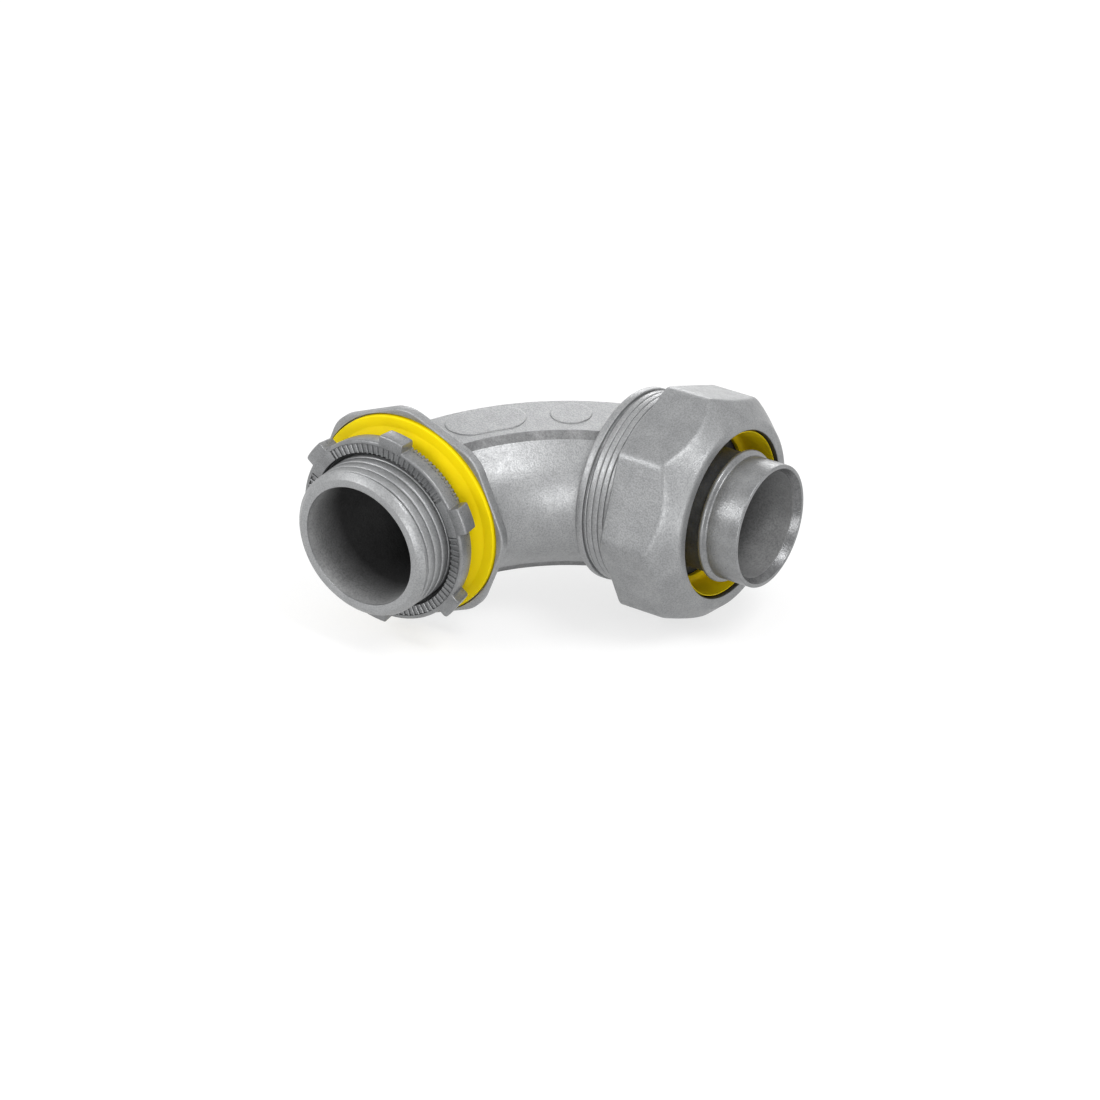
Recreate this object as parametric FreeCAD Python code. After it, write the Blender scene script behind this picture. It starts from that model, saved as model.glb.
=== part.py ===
import FreeCAD, Part
import math
import os

# Liquidtight conduit connector, trade size 1 inch, 90 degree elbow.
# Millimetres, +Z up. The hub points along -Y and the gland along +X.
# The origin is the centre of the flange's seating face, on the hub's axis.

Vector = FreeCAD.Vector

# Clearances
THREAD_FIT = 0.1
LOOSE = 0.3
SEAT_GAP = 0.2

# Elbow casting: wireway and sweep
BORE_R = 13.4
SWEEP_R = 46.4
SWEEP_START_Y = -9.4
TUBE_WALL = 2.7

# Elbow casting: the flat rails along the top and the bottom of the bend
RAIL_TOP_Z = 16.4
RAIL_HALF_WIDTH = 6.65
RAIL_DRAFT_DROP = 1.7
RAIL_DRAFT_RUN = 1.15
RAIL_CHEEK_FOOT_DEG = 47.0
PAD_HEIGHT = 0.2
PAD_HALF_WIDTH = 5.0
PAD_OUTSET = 0.7
LONG_PAD_FROM_DEG = 24.5
LONG_PAD_TO_DEG = 46.0
ROUND_PAD_R = 4.5
ROUND_PAD_DEG = 57.6

# Elbow casting: hub with the outside thread that enters the box
HUB_THREAD_R = 16.75
HUB_TAPER = 0.25
HUB_FREE_LENGTH = 8.1
HUB_LENGTH = 17.3
HUB_MOUTH_CHAMFER = 1.3

# Elbow casting: eight-sided flange with the recess for the sealing ring
FLANGE_SIDES = 8
FLANGE_LIP = 0.4
FLANGE_THICKNESS = 2.2
FLANGE_CORNER_R = 9.0
FLARE_R = 4.0
FLARE_SINK = 0.2
FLARE_STEPS = 4
RECESS_DEPTH = 1.0
RECESS_WIDTH = 6.05

# Elbow casting: gland collar with the outside thread for the nut
COLLAR_HEIGHT = 0.3
COLLAR_LENGTH = 1.8
COLLAR_CHAMFER = 0.5
GLAND_THREAD_R = 20.9
GLAND_LENGTH = 15.7
GLAND_PAST_BEND = 1.1
GLAND_END_CHAMFER = 0.8

# Sealing ring on the hub
GASKET_PROUD = 0.7
GASKET_FLAT_BAND = 2.3
GASKET_INNER_RISE = 1.2
GASKET_INNER_FLAT = 0.25

# Locknut
LOCKNUT_THICKNESS = 4.0
LOCKNUT_GAP = 4.3
LOCKNUT_WALL = 3.75
LOCKNUT_DRAFT = 0.4
LOCKNUT_LUG_HEIGHT = 2.0
LOCKNUT_LUG_WIDTH = 5.8
LOCKNUT_LUGS = 6
LOCKNUT_FIRST_LUG_DEG = 22.0
LOCKNUT_LEAD_IN = 0.75
LOCKNUT_LEAD_IN_DEPTH = 1.4

# Gland nut
NUT_SIDES = 8
NUT_CORNER_WALL = 4.84
NUT_CORNER_ROUND = 3.0
NUT_SHOWS_THREAD = 7.36
NUT_LENGTH = 16.78
NUT_SHOULDER = 2.63
NUT_LIP_WALL = 2.63
NUT_LIP_LENGTH = 0.5
NUT_NOSE_LENGTH = 6.0
NUT_BACK_CHAMFER = 0.7
NUT_THREAD_LENGTH = 9.5
NUT_HOLE_LENGTH = 1.4
NUT_LEAD_IN = 0.8

# Conduit ferrule
FERRULE_BORE_R = 11.6
FERRULE_TUBE_R = 13.4
FERRULE_FLANGE_INSET = 3.1
FERRULE_FLANGE_THICKNESS = 1.4
FERRULE_REACH = 17.8
FERRULE_SPIGOT_LENGTH = 2.0
FERRULE_ROOT_R = 13.2
FERRULE_ROOT_LENGTH = 8.3
FERRULE_GROOVE_WIDTH = 0.5
FERRULE_GROOVE_DEPTH = 0.3
FERRULE_BEAD_R = 14.4
FERRULE_BEAD_WIDTH = 1.5
FERRULE_TIP_CHAMFER = 0.5
FERRULE_MOUTH_BEVEL = 1.0
FERRULE_MOUTH_DEPTH = 1.6

# Compression ring
RING_NOSE_WALL = 1.37
RING_LENGTH = 7.6
RING_STRAIGHT_LENGTH = 2.4
RING_TIP_BEVEL = 0.1
RING_FUNNEL = 0.8
RING_LIP_LENGTH = 1.0
RING_LIP_GAP = 2.4

# Places that follow from the sizes above
TUBE_R = BORE_R + TUBE_WALL
SWEEP_CENTRE = Vector(SWEEP_R, SWEEP_START_Y, 0)
HUB_MOUTH_Y = -HUB_LENGTH
GLAND_Y = SWEEP_START_Y + SWEEP_R
GLAND_END_X = SWEEP_R + GLAND_PAST_BEND
COLLAR_X = GLAND_END_X - GLAND_LENGTH
COLLAR_END_X = COLLAR_X + COLLAR_LENGTH
COLLAR_R = GLAND_THREAD_R + COLLAR_HEIGHT
RECESS_R = HUB_THREAD_R + RECESS_WIDTH
FLANGE_HALF_FLATS = RECESS_R + FLANGE_LIP
GASKET_BACK_Y = RECESS_DEPTH
GASKET_FRONT_Y = -GASKET_PROUD
LOCKNUT_BACK_Y = GASKET_FRONT_Y - LOCKNUT_GAP
LOCKNUT_FRONT_Y = LOCKNUT_BACK_Y - LOCKNUT_THICKNESS
LOCKNUT_BORE_R = HUB_THREAD_R + THREAD_FIT
LOCKNUT_R = LOCKNUT_BORE_R + LOCKNUT_WALL
LOCKNUT_LUG_R = LOCKNUT_R + LOCKNUT_LUG_HEIGHT
NUT_THREAD_R = GLAND_THREAD_R + THREAD_FIT
NUT_CORNER_R = NUT_THREAD_R + NUT_CORNER_WALL
NUT_HOLE_R = NUT_THREAD_R - NUT_SHOULDER
NUT_LIP_R = NUT_HOLE_R + NUT_LIP_WALL
NUT_BACK_X = COLLAR_END_X + NUT_SHOWS_THREAD
NUT_FRONT_X = NUT_BACK_X + NUT_LENGTH
FERRULE_FLANGE_X = GLAND_END_X + SEAT_GAP
FERRULE_FLANGE_R = GLAND_THREAD_R - FERRULE_FLANGE_INSET
FERRULE_TUBE_X = FERRULE_FLANGE_X + FERRULE_FLANGE_THICKNESS
FERRULE_TIP_X = FERRULE_TUBE_X + FERRULE_REACH
RING_BACK_X = FERRULE_TUBE_X + SEAT_GAP
RING_BORE_R = NUT_HOLE_R - RING_NOSE_WALL

X_AXIS = Vector(1, 0, 0)
Y_AXIS = Vector(0, 1, 0)
Z_AXIS = Vector(0, 0, 1)


def hub_turned(profile):
    """A solid turned about the hub's axis, from (y, radius) points."""
    wire = Part.makePolygon([Vector(0, y, r) for y, r in profile + profile[:1]])
    return Part.Face(wire).revolve(Vector(0, 0, 0), Y_AXIS, 360)


def gland_turned(profile):
    """A solid turned about the gland's axis, from (x, radius) points."""
    wire = Part.makePolygon([Vector(x, GLAND_Y, r) for x, r in profile + profile[:1]])
    return Part.Face(wire).revolve(Vector(0, GLAND_Y, 0), X_AXIS, 360)


def corner_angles(sides):
    """Angles of a polygon's corners, one of them straight up."""
    return [2 * math.pi * i / sides + math.pi / 2 for i in range(sides)]


def bend_point(radius, angle_deg, z):
    """A point of the bend: 0 degrees at the hub's end, 90 at the gland's."""
    angle = math.radians(angle_deg)
    return SWEEP_CENTRE + Vector(-radius * math.cos(angle), radius * math.sin(angle), z)


def swept(section):
    """Turn a section that stands at the hub's end of the bend through to the gland's end."""
    return section.revolve(SWEEP_CENTRE, Z_AXIS, -90)


def disc_section(radius):
    """A round section at the hub's end of the bend."""
    centre = bend_point(SWEEP_R, 0, 0)
    return Part.Face(Part.Wire(Part.makeCircle(radius, centre, Y_AXIS)))


def rail_section(side):
    """One rail's section: its land, drafted sides and the cheeks that run out on the tube."""
    shoulder = RAIL_HALF_WIDTH + RAIL_DRAFT_RUN
    shoulder_z = RAIL_TOP_Z - RAIL_DRAFT_DROP
    foot = TUBE_R * math.cos(math.radians(RAIL_CHEEK_FOOT_DEG))
    foot_z = TUBE_R * math.sin(math.radians(RAIL_CHEEK_FOOT_DEG))
    outline = [(-foot, 0), (foot, 0), (foot, foot_z), (shoulder, shoulder_z),
               (RAIL_HALF_WIDTH, RAIL_TOP_Z), (-RAIL_HALF_WIDTH, RAIL_TOP_Z),
               (-shoulder, shoulder_z), (-foot, foot_z)]
    corners = [bend_point(SWEEP_R + across, 0, side * up) for across, up in outline + outline[:1]]
    return Part.Face(Part.makePolygon(corners))


def long_pad():
    """The long raised blank pad, with round ends, on the top rail."""
    middle_r = SWEEP_R + PAD_OUTSET
    inner_r = middle_r - PAD_HALF_WIDTH
    outer_r = middle_r + PAD_HALF_WIDTH
    end_turn = math.degrees(PAD_HALF_WIDTH / middle_r)
    first = LONG_PAD_FROM_DEG + end_turn
    last = LONG_PAD_TO_DEG - end_turn
    middle = (first + last) / 2
    base_z = RAIL_TOP_Z - PAD_HEIGHT
    corners = [bend_point(inner_r, first, base_z), bend_point(outer_r, first, base_z),
               bend_point(outer_r, last, base_z), bend_point(inner_r, last, base_z)]
    edges = [Part.Arc(corners[0], bend_point(middle_r, LONG_PAD_FROM_DEG, base_z), corners[1]).toShape(),
             Part.Arc(corners[1], bend_point(outer_r, middle, base_z), corners[2]).toShape(),
             Part.Arc(corners[2], bend_point(middle_r, LONG_PAD_TO_DEG, base_z), corners[3]).toShape(),
             Part.Arc(corners[3], bend_point(inner_r, middle, base_z), corners[0]).toShape()]
    return Part.Face(Part.Wire(edges)).extrude(Vector(0, 0, 2 * PAD_HEIGHT))


def round_pad():
    """The round raised pad beside it, where the size would be cast."""
    centre = bend_point(SWEEP_R + PAD_OUTSET, ROUND_PAD_DEG, RAIL_TOP_Z - PAD_HEIGHT)
    return Part.makeCylinder(ROUND_PAD_R, 2 * PAD_HEIGHT, centre, Z_AXIS)


def flare():
    """The bend's foot, widening in a smooth curve on to the back of the flange."""
    rings = []
    for step in range(FLARE_STEPS + 1):
        turn = math.pi / 2 * step / FLARE_STEPS
        y = FLANGE_THICKNESS + FLARE_R * (1 - math.cos(turn))
        centre_x = SWEEP_R - math.sqrt(SWEEP_R ** 2 - (y - SWEEP_START_Y) ** 2)
        radius = TUBE_R - FLARE_SINK + FLARE_R * (1 - math.sin(turn))
        rings.append(Part.Wire(Part.makeCircle(radius, Vector(centre_x, y, 0), Y_AXIS)))
    return Part.makeLoft(rings, True, False)


def bend_shell():
    """The outside of the bend between the flange and the collar, still solid."""
    bend = swept(disc_section(TUBE_R))
    bend = bend.fuse([swept(rail_section(1)), swept(rail_section(-1)), long_pad(), round_pad(), flare()])
    reach = 4 * SWEEP_R
    start_y = FLANGE_THICKNESS / 2
    end_x = COLLAR_X + COLLAR_LENGTH / 2
    window = Part.makeBox(reach, reach, reach, Vector(end_x - reach, start_y, -reach / 2))
    return bend.common(window)


def flange_plate():
    """The eight-sided flange with a corner up, its corners rounded."""
    corner_r = FLANGE_HALF_FLATS / math.cos(math.pi / FLANGE_SIDES)
    corners = [Vector(corner_r * math.cos(a), 0, corner_r * math.sin(a)) for a in corner_angles(FLANGE_SIDES)]
    plate = Part.Face(Part.makePolygon(corners + corners[:1])).extrude(Vector(0, FLANGE_THICKNESS, 0))
    corner_edges = [e for e in plate.Edges if abs(e.Length - FLANGE_THICKNESS) < 1e-6
                    and abs(e.tangentAt(e.FirstParameter).y) > 0.99]
    return plate.makeFillet(FLANGE_CORNER_R, corner_edges)


def hub_thread_body():
    """The hub at its thread's full diameter: a thinner free end for the thread's taper, and the lead-in."""
    free_r = HUB_THREAD_R - HUB_TAPER
    free_end_y = HUB_MOUTH_Y + HUB_FREE_LENGTH
    return hub_turned([(HUB_MOUTH_Y, 0), (HUB_MOUTH_Y, free_r - HUB_MOUTH_CHAMFER),
                       (HUB_MOUTH_Y + HUB_MOUTH_CHAMFER, free_r), (free_end_y - HUB_TAPER, free_r),
                       (free_end_y, HUB_THREAD_R), (FLANGE_THICKNESS, HUB_THREAD_R), (FLANGE_THICKNESS, 0)])


def gland_thread_body():
    """The smooth collar and the gland thread at its full diameter."""
    return gland_turned([(COLLAR_X, 0), (COLLAR_X, COLLAR_R - COLLAR_CHAMFER),
                         (COLLAR_X + COLLAR_CHAMFER, COLLAR_R), (COLLAR_END_X, COLLAR_R),
                         (COLLAR_END_X, GLAND_THREAD_R),
                         (GLAND_END_X - GLAND_END_CHAMFER, GLAND_THREAD_R),
                         (GLAND_END_X, GLAND_THREAD_R - GLAND_END_CHAMFER), (GLAND_END_X, 0)])


def wireway():
    """The round passage: straight through the hub, a quarter bend, straight out of the gland."""
    hub_leg_length = SWEEP_CENTRE.y - HUB_MOUTH_Y + LOOSE
    hub_leg = Part.makeCylinder(BORE_R, hub_leg_length, Vector(0, HUB_MOUTH_Y - LOOSE, 0), Y_AXIS)
    gland_leg_length = GLAND_END_X - SWEEP_R + LOOSE
    gland_leg = Part.makeCylinder(BORE_R, gland_leg_length, Vector(SWEEP_R, GLAND_Y, 0), X_AXIS)
    return swept(disc_section(BORE_R)).fuse([hub_leg, gland_leg])


def make_body():
    """The die-cast elbow: hub, flange, bend, collar and gland thread in one piece."""
    casting = bend_shell().fuse([flange_plate(), hub_thread_body(), gland_thread_body()])
    recess = hub_turned([(-LOOSE, HUB_THREAD_R), (-LOOSE, RECESS_R), (RECESS_DEPTH, RECESS_R),
                         (RECESS_DEPTH, HUB_THREAD_R)])
    return casting.cut(recess).cut(wireway()).removeSplitter()


def make_hub_gasket():
    """The yellow sealing ring: a flat outer band and an inner band that rises to the hub."""
    bore_r = HUB_THREAD_R + LOOSE
    outer_r = RECESS_R - LOOSE
    inner_y = GASKET_FRONT_Y - GASKET_INNER_RISE
    return hub_turned([(GASKET_BACK_Y, bore_r), (GASKET_BACK_Y, outer_r), (GASKET_FRONT_Y, outer_r),
                       (GASKET_FRONT_Y, outer_r - GASKET_FLAT_BAND),
                       (inner_y, bore_r + GASKET_INNER_FLAT), (inner_y, bore_r)])


def locknut_lug(angle_deg):
    """One driving lug, from inside the ring out to the lug circle."""
    inside_r = LOCKNUT_BORE_R + LOCKNUT_LEAD_IN + LOOSE
    blank = Part.makeBox(LOCKNUT_LUG_R, LOCKNUT_THICKNESS, LOCKNUT_LUG_WIDTH,
                         Vector(inside_r, LOCKNUT_FRONT_Y, -LOCKNUT_LUG_WIDTH / 2))
    blank.rotate(Vector(0, 0, 0), Y_AXIS, -angle_deg)
    limit = hub_turned([(LOCKNUT_BACK_Y, 0), (LOCKNUT_BACK_Y, LOCKNUT_LUG_R - LOCKNUT_DRAFT),
                        (LOCKNUT_FRONT_Y, LOCKNUT_LUG_R), (LOCKNUT_FRONT_Y, 0)])
    return blank.common(limit)


def make_locknut():
    """The flat ring with six lugs that draws the hub into the box wall."""
    ring = hub_turned([(LOCKNUT_BACK_Y, LOCKNUT_BORE_R), (LOCKNUT_BACK_Y, LOCKNUT_R - LOCKNUT_DRAFT),
                       (LOCKNUT_FRONT_Y, LOCKNUT_R), (LOCKNUT_FRONT_Y, LOCKNUT_BORE_R + LOCKNUT_LEAD_IN),
                       (LOCKNUT_FRONT_Y + LOCKNUT_LEAD_IN_DEPTH, LOCKNUT_BORE_R)])
    step_deg = 360 / LOCKNUT_LUGS
    lugs = [locknut_lug(LOCKNUT_FIRST_LUG_DEG + i * step_deg) for i in range(LOCKNUT_LUGS)]
    return ring.fuse(lugs).removeSplitter()


def make_gland_nut():
    """The eight-sided nut with a coned nose, threaded at its back and coned inside."""
    corners = [Vector(NUT_BACK_X, GLAND_Y + NUT_CORNER_R * math.cos(a), NUT_CORNER_R * math.sin(a))
               for a in corner_angles(NUT_SIDES)]
    blank = Part.Face(Part.makePolygon(corners + corners[:1])).extrude(Vector(NUT_LENGTH, 0, 0))
    long_edges = [e for e in blank.Edges if abs(e.tangentAt(e.FirstParameter).x) > 0.99]
    blank = blank.makeFillet(NUT_CORNER_ROUND, long_edges)
    nose_x = NUT_FRONT_X - NUT_NOSE_LENGTH
    envelope = gland_turned([(NUT_BACK_X, 0), (NUT_BACK_X, NUT_CORNER_R - NUT_BACK_CHAMFER),
                             (NUT_BACK_X + NUT_BACK_CHAMFER, NUT_CORNER_R), (nose_x, NUT_CORNER_R),
                             (NUT_FRONT_X - NUT_LIP_LENGTH, NUT_LIP_R),
                             (NUT_FRONT_X, NUT_LIP_R - NUT_LIP_LENGTH), (NUT_FRONT_X, 0)])
    inside = gland_turned([(NUT_BACK_X, 0), (NUT_BACK_X, NUT_THREAD_R + NUT_LEAD_IN),
                           (NUT_BACK_X + NUT_LEAD_IN, NUT_THREAD_R),
                           (NUT_BACK_X + NUT_THREAD_LENGTH, NUT_THREAD_R),
                           (NUT_FRONT_X - NUT_HOLE_LENGTH, NUT_HOLE_R), (NUT_FRONT_X, NUT_HOLE_R),
                           (NUT_FRONT_X, 0)])
    return blank.common(envelope).cut(inside).removeSplitter()


def nut_inside_r(x):
    """The nut's inside radius where its cone narrows from the thread to the hole."""
    start_x = NUT_BACK_X + NUT_THREAD_LENGTH
    end_x = NUT_FRONT_X - NUT_HOLE_LENGTH
    share = min(max((x - start_x) / (end_x - start_x), 0), 1)
    return NUT_THREAD_R + share * (NUT_HOLE_R - NUT_THREAD_R)


def make_compression_ring():
    """The ring that the nut's cone squeezes onto the conduit, with a lip that the conduit's end meets."""
    lip_r = FERRULE_ROOT_R + RING_LIP_GAP
    lip_x = RING_BACK_X + RING_LIP_LENGTH
    shoulder_x = RING_BACK_X + RING_STRAIGHT_LENGTH
    cone_end_x = NUT_FRONT_X - NUT_HOLE_LENGTH
    nose_x = RING_BACK_X + RING_LENGTH
    return gland_turned([(RING_BACK_X, lip_r), (RING_BACK_X, nut_inside_r(shoulder_x) - LOOSE),
                         (shoulder_x, nut_inside_r(shoulder_x) - LOOSE), (cone_end_x, NUT_HOLE_R - LOOSE),
                         (nose_x, NUT_HOLE_R - LOOSE - RING_TIP_BEVEL),
                         (nose_x, RING_BORE_R + RING_FUNNEL), (lip_x, RING_BORE_R), (lip_x, lip_r)])


def make_ferrule():
    """The loose sleeve that the conduit is screwed onto, held by its flange."""
    spigot_r = BORE_R - LOOSE
    groove_x = FERRULE_TUBE_X + FERRULE_ROOT_LENGTH
    bead_x = groove_x + FERRULE_GROOVE_WIDTH
    bead_end_x = bead_x + FERRULE_BEAD_WIDTH
    bead_slope = FERRULE_BEAD_R - FERRULE_TUBE_R
    groove_r = FERRULE_ROOT_R - FERRULE_GROOVE_DEPTH
    tip_r = FERRULE_TUBE_R - FERRULE_TIP_CHAMFER / 2
    return gland_turned([(FERRULE_FLANGE_X - FERRULE_SPIGOT_LENGTH, FERRULE_BORE_R),
                         (FERRULE_FLANGE_X - FERRULE_SPIGOT_LENGTH, spigot_r),
                         (FERRULE_FLANGE_X, spigot_r), (FERRULE_FLANGE_X, FERRULE_FLANGE_R),
                         (FERRULE_TUBE_X, FERRULE_FLANGE_R), (FERRULE_TUBE_X, FERRULE_ROOT_R),
                         (groove_x, FERRULE_ROOT_R), (groove_x, groove_r), (bead_x, groove_r),
                         (bead_x, FERRULE_BEAD_R), (bead_end_x - bead_slope / 2, FERRULE_BEAD_R),
                         (bead_end_x, FERRULE_TUBE_R), (FERRULE_TIP_X - FERRULE_TIP_CHAMFER, FERRULE_TUBE_R),
                         (FERRULE_TIP_X, tip_r), (FERRULE_TIP_X, FERRULE_BORE_R + FERRULE_MOUTH_BEVEL),
                         (FERRULE_TIP_X - FERRULE_MOUTH_DEPTH, FERRULE_BORE_R)])


NODES = {
    "body": make_body,
    "hub_gasket": make_hub_gasket,
    "locknut": make_locknut,
    "gland_nut": make_gland_nut,
    "compression_ring": make_compression_ring,
    "ferrule": make_ferrule,
}

os.makedirs("parts", exist_ok=True)
for node, make in NODES.items():
    shape = make()
    shape.exportStep("parts/" + node + ".step")
    box = shape.BoundBox
    print(node, "valid", shape.isValid(), "solids", len(shape.Solids), "volume", round(shape.Volume, 1),
          "x", round(box.XMin, 2), round(box.XMax, 2), "y", round(box.YMin, 2), round(box.YMax, 2),
          "z", round(box.ZMin, 2), round(box.ZMax, 2))
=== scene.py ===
"""Liquidtight conduit connector, trade size 1 inch, with a ninety degree bend.

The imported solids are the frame. Every visible piece here is built in millimetres from the same
sizes, made a mesh in metres, and rides on the body that carries it.
"""

from __future__ import annotations

import logging
import math
from dataclasses import dataclass
from enum import Enum
from typing import Callable, Iterable, Sequence

import bmesh
import bpy
import numpy as np
from mathutils import Matrix, Vector

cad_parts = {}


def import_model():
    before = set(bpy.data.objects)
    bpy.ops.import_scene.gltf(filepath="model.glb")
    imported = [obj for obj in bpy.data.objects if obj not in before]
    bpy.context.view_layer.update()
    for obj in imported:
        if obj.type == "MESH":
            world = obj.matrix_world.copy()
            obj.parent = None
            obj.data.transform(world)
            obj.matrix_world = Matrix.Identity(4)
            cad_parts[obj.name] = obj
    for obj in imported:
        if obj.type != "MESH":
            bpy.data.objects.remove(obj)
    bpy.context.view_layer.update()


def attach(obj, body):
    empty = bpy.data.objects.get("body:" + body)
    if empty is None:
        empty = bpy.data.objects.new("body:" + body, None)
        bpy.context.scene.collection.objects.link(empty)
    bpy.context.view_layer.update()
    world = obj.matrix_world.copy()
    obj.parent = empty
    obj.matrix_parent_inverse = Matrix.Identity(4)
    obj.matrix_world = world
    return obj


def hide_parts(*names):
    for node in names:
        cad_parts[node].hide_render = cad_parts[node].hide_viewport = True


LOG = logging.getLogger("conduit_connector")
MM = 0.001
FULL_TURN = 2.0 * math.pi
OCTAGON_SIDES = 8
SIDE_TURN = FULL_TURN / OCTAGON_SIDES
CORNER_SHARE = 0.48
NEAR_SHARE = 0.3
MERGE_MM = 0.0015
SPECK_MM = 0.0005
PLATE_SHARP_DEG = 25.0
TURNED_STEPS = 5
ROD_SIDES = 10
NOISE_LOW = 0.3
NOISE_HIGH = 0.7
Point2 = tuple[float, float]
Triple = tuple[float, float, float]
Face = bpy.types.MeshPolygon
Material = bpy.types.Material
Mesh = bpy.types.Mesh
Object = bpy.types.Object
Socket = bpy.types.NodeSocket


# Shapes that are read as rings of points


def polar(radius: float, turn: float) -> Point2:
    """The point at a distance from the centre and an angle in radians."""
    return radius * math.cos(turn), radius * math.sin(turn)


def softened(corners: Sequence[Triple], steps: int = 4) -> list[Point2]:
    """Replace each corner of a closed outline by a short curve.

    Args:
        corners: The corners in order, each with the length its curve takes off both sides.
        steps: How many pieces each curve has.

    Returns:
        The outline's points in the same order.
    """
    points: list[Point2] = []
    count = len(corners)
    for i, (x, y, cut) in enumerate(corners):
        if cut <= 0:
            points.append((x, y))
            continue
        corner = np.array((x, y))
        before = np.array(corners[i - 1][:2]) - corner
        after = np.array(corners[(i + 1) % count][:2]) - corner
        reach_before = min(cut, CORNER_SHARE * float(np.linalg.norm(before)))
        reach_after = min(cut, CORNER_SHARE * float(np.linalg.norm(after)))
        start = corner + before / np.linalg.norm(before) * reach_before
        end = corner + after / np.linalg.norm(after) * reach_after
        for step in range(steps + 1):
            t = step / steps
            point = (1 - t) ** 2 * start + 2 * t * (1 - t) * corner + t ** 2 * end
            points.append((float(point[0]), float(point[1])))
    return points


def edge_arc(size: float, steps: int = 4) -> list[Point2]:
    """The steps of a rounded edge, from a flat end face round to the side.

    Args:
        size: The rounding's radius.
        steps: How many pieces it has.

    Returns:
        Pairs of (distance from the end face, how far inside the side).
    """
    turns = [math.pi / 2 * step / steps for step in range(steps + 1)]
    return [(size * (1 - math.cos(turn)), size * (1 - math.sin(turn))) for turn in turns]


@dataclass(frozen=True)
class TurningAxis:
    """An axis, with the direction that angles round it start from and the one at 90 degrees."""

    origin: Triple
    along: Triple
    start: Triple
    quarter: Triple

    def ring(self, columns: np.ndarray, along: np.ndarray | float, radius: np.ndarray | float) -> np.ndarray:
        """Points round the axis.

        Args:
            columns: The angles, in radians.
            along: Place along the axis, one for all angles or one for each.
            radius: Distance from the axis, one for all angles or one for each.

        Returns:
            An array of one point for each angle.
        """
        place = np.broadcast_to(along, columns.shape)[:, None] * np.array(self.along)
        direction = np.cos(columns)[:, None] * np.array(self.start)
        direction = direction + np.sin(columns)[:, None] * np.array(self.quarter)
        return np.array(self.origin) + place + np.broadcast_to(radius, columns.shape)[:, None] * direction


HUB_AXIS = TurningAxis((0, 0, 0), (0, 1, 0), (-1, 0, 0), (0, 0, 1))
GLAND_AXIS = TurningAxis((0, 37.0, 0), (1, 0, 0), (0, 1, 0), (0, 0, 1))


class Outline:
    """A closed outline round a centre, read as one radius for each angle."""

    SAMPLE = 0.04

    def __init__(self, points: Sequence[Point2]) -> None:
        """Sample the outline closely.

        Args:
            points: The outline's points in order; a straight line joins each to the next.
        """
        corners = np.array(points)
        following = np.roll(corners, -1, axis=0)
        samples = []
        for start, end in zip(corners, following):
            pieces = max(1, int(np.linalg.norm(end - start) / self.SAMPLE))
            share = np.arange(pieces)[:, None] / pieces
            samples.append(start + (end - start) * share)
        every = np.concatenate(samples)
        turn = np.arctan2(every[:, 1], every[:, 0]) % FULL_TURN
        order = np.argsort(turn)
        self.turn = turn[order]
        self.distance = np.hypot(every[:, 0], every[:, 1])[order]

    def radius(self, columns: np.ndarray) -> np.ndarray:
        """The outline's radius at each angle."""
        return np.interp(columns % FULL_TURN, self.turn, self.distance, period=FULL_TURN)


def octagon(reach: float, cut: float, steps: int) -> Outline:
    """An eight-sided outline with softened corners, one of them straight up.

    Args:
        reach: The corners' distance from the centre.
        cut: The length that a corner's curve takes off both sides.
        steps: How many pieces each curve has.

    Returns:
        The outline.
    """
    return Outline(softened([(*polar(reach, SIDE_TURN * i), cut) for i in range(OCTAGON_SIDES)], steps))


def ring_columns(step_deg: float, edges_deg: Iterable[float] = (),
                 spread_deg: Iterable[float] = (0.0,)) -> np.ndarray:
    """Angles round a ring, with extra ones beside each edge that has to stay crisp.

    Args:
        step_deg: The even step between angles.
        edges_deg: Where the edges are.
        spread_deg: The offsets from each edge at which an angle is added.

    Returns:
        Angles in radians from 0 to a full turn, both included.
    """
    extra = {round((edge + offset) % 360.0, 4) for edge in edges_deg for offset in spread_deg}
    near = step_deg * NEAR_SHARE
    even = [a for a in np.arange(0.0, 360.0, step_deg) if all(abs(a - e) > near for e in extra)]
    inner = sorted(extra | {round(float(a), 4) for a in even} | {0.0})
    return np.radians(np.array(inner + [360.0]))


class RingShell:
    """A closed shell of rings, each joined to the next and the last to the first."""

    def __init__(self, columns: np.ndarray) -> None:
        """Start with no rings.

        Args:
            columns: The angles that every ring has a point at.
        """
        self.columns = columns
        self.rings: list[np.ndarray] = []

    def add(self, ring: np.ndarray) -> None:
        """Add one ring of points."""
        self.rings.append(ring)

    def add_turned(self, axis: TurningAxis, along: np.ndarray | float, radius: np.ndarray | float) -> None:
        """Add one ring round an axis."""
        self.add(axis.ring(self.columns, along, radius))

    def add_profile(self, axis: TurningAxis, profile: Iterable[Point2]) -> None:
        """Add a ring for each (along, radius) point of a profile."""
        for along, radius in profile:
            self.add_turned(axis, along, radius)

    def mesh(self, name: str) -> Mesh:
        """Join the rings into a mesh in metres, its seam closed and its faces outward.

        Args:
            name: The mesh's name.

        Returns:
            The closed mesh.
        """
        count = len(self.columns)
        total = len(self.rings)
        points = np.concatenate(self.rings) * MM
        ring = np.arange(total)[:, None] * count
        after = ((np.arange(total) + 1) % total)[:, None] * count
        column = np.arange(count - 1)[None, :]
        faces = np.stack([ring + column, ring + column + 1, after + column + 1, after + column], axis=-1)
        mesh = bpy.data.meshes.new(name)
        mesh.from_pydata(points.tolist(), [], faces.reshape(-1, 4).tolist())
        return cleaned(mesh)


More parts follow.
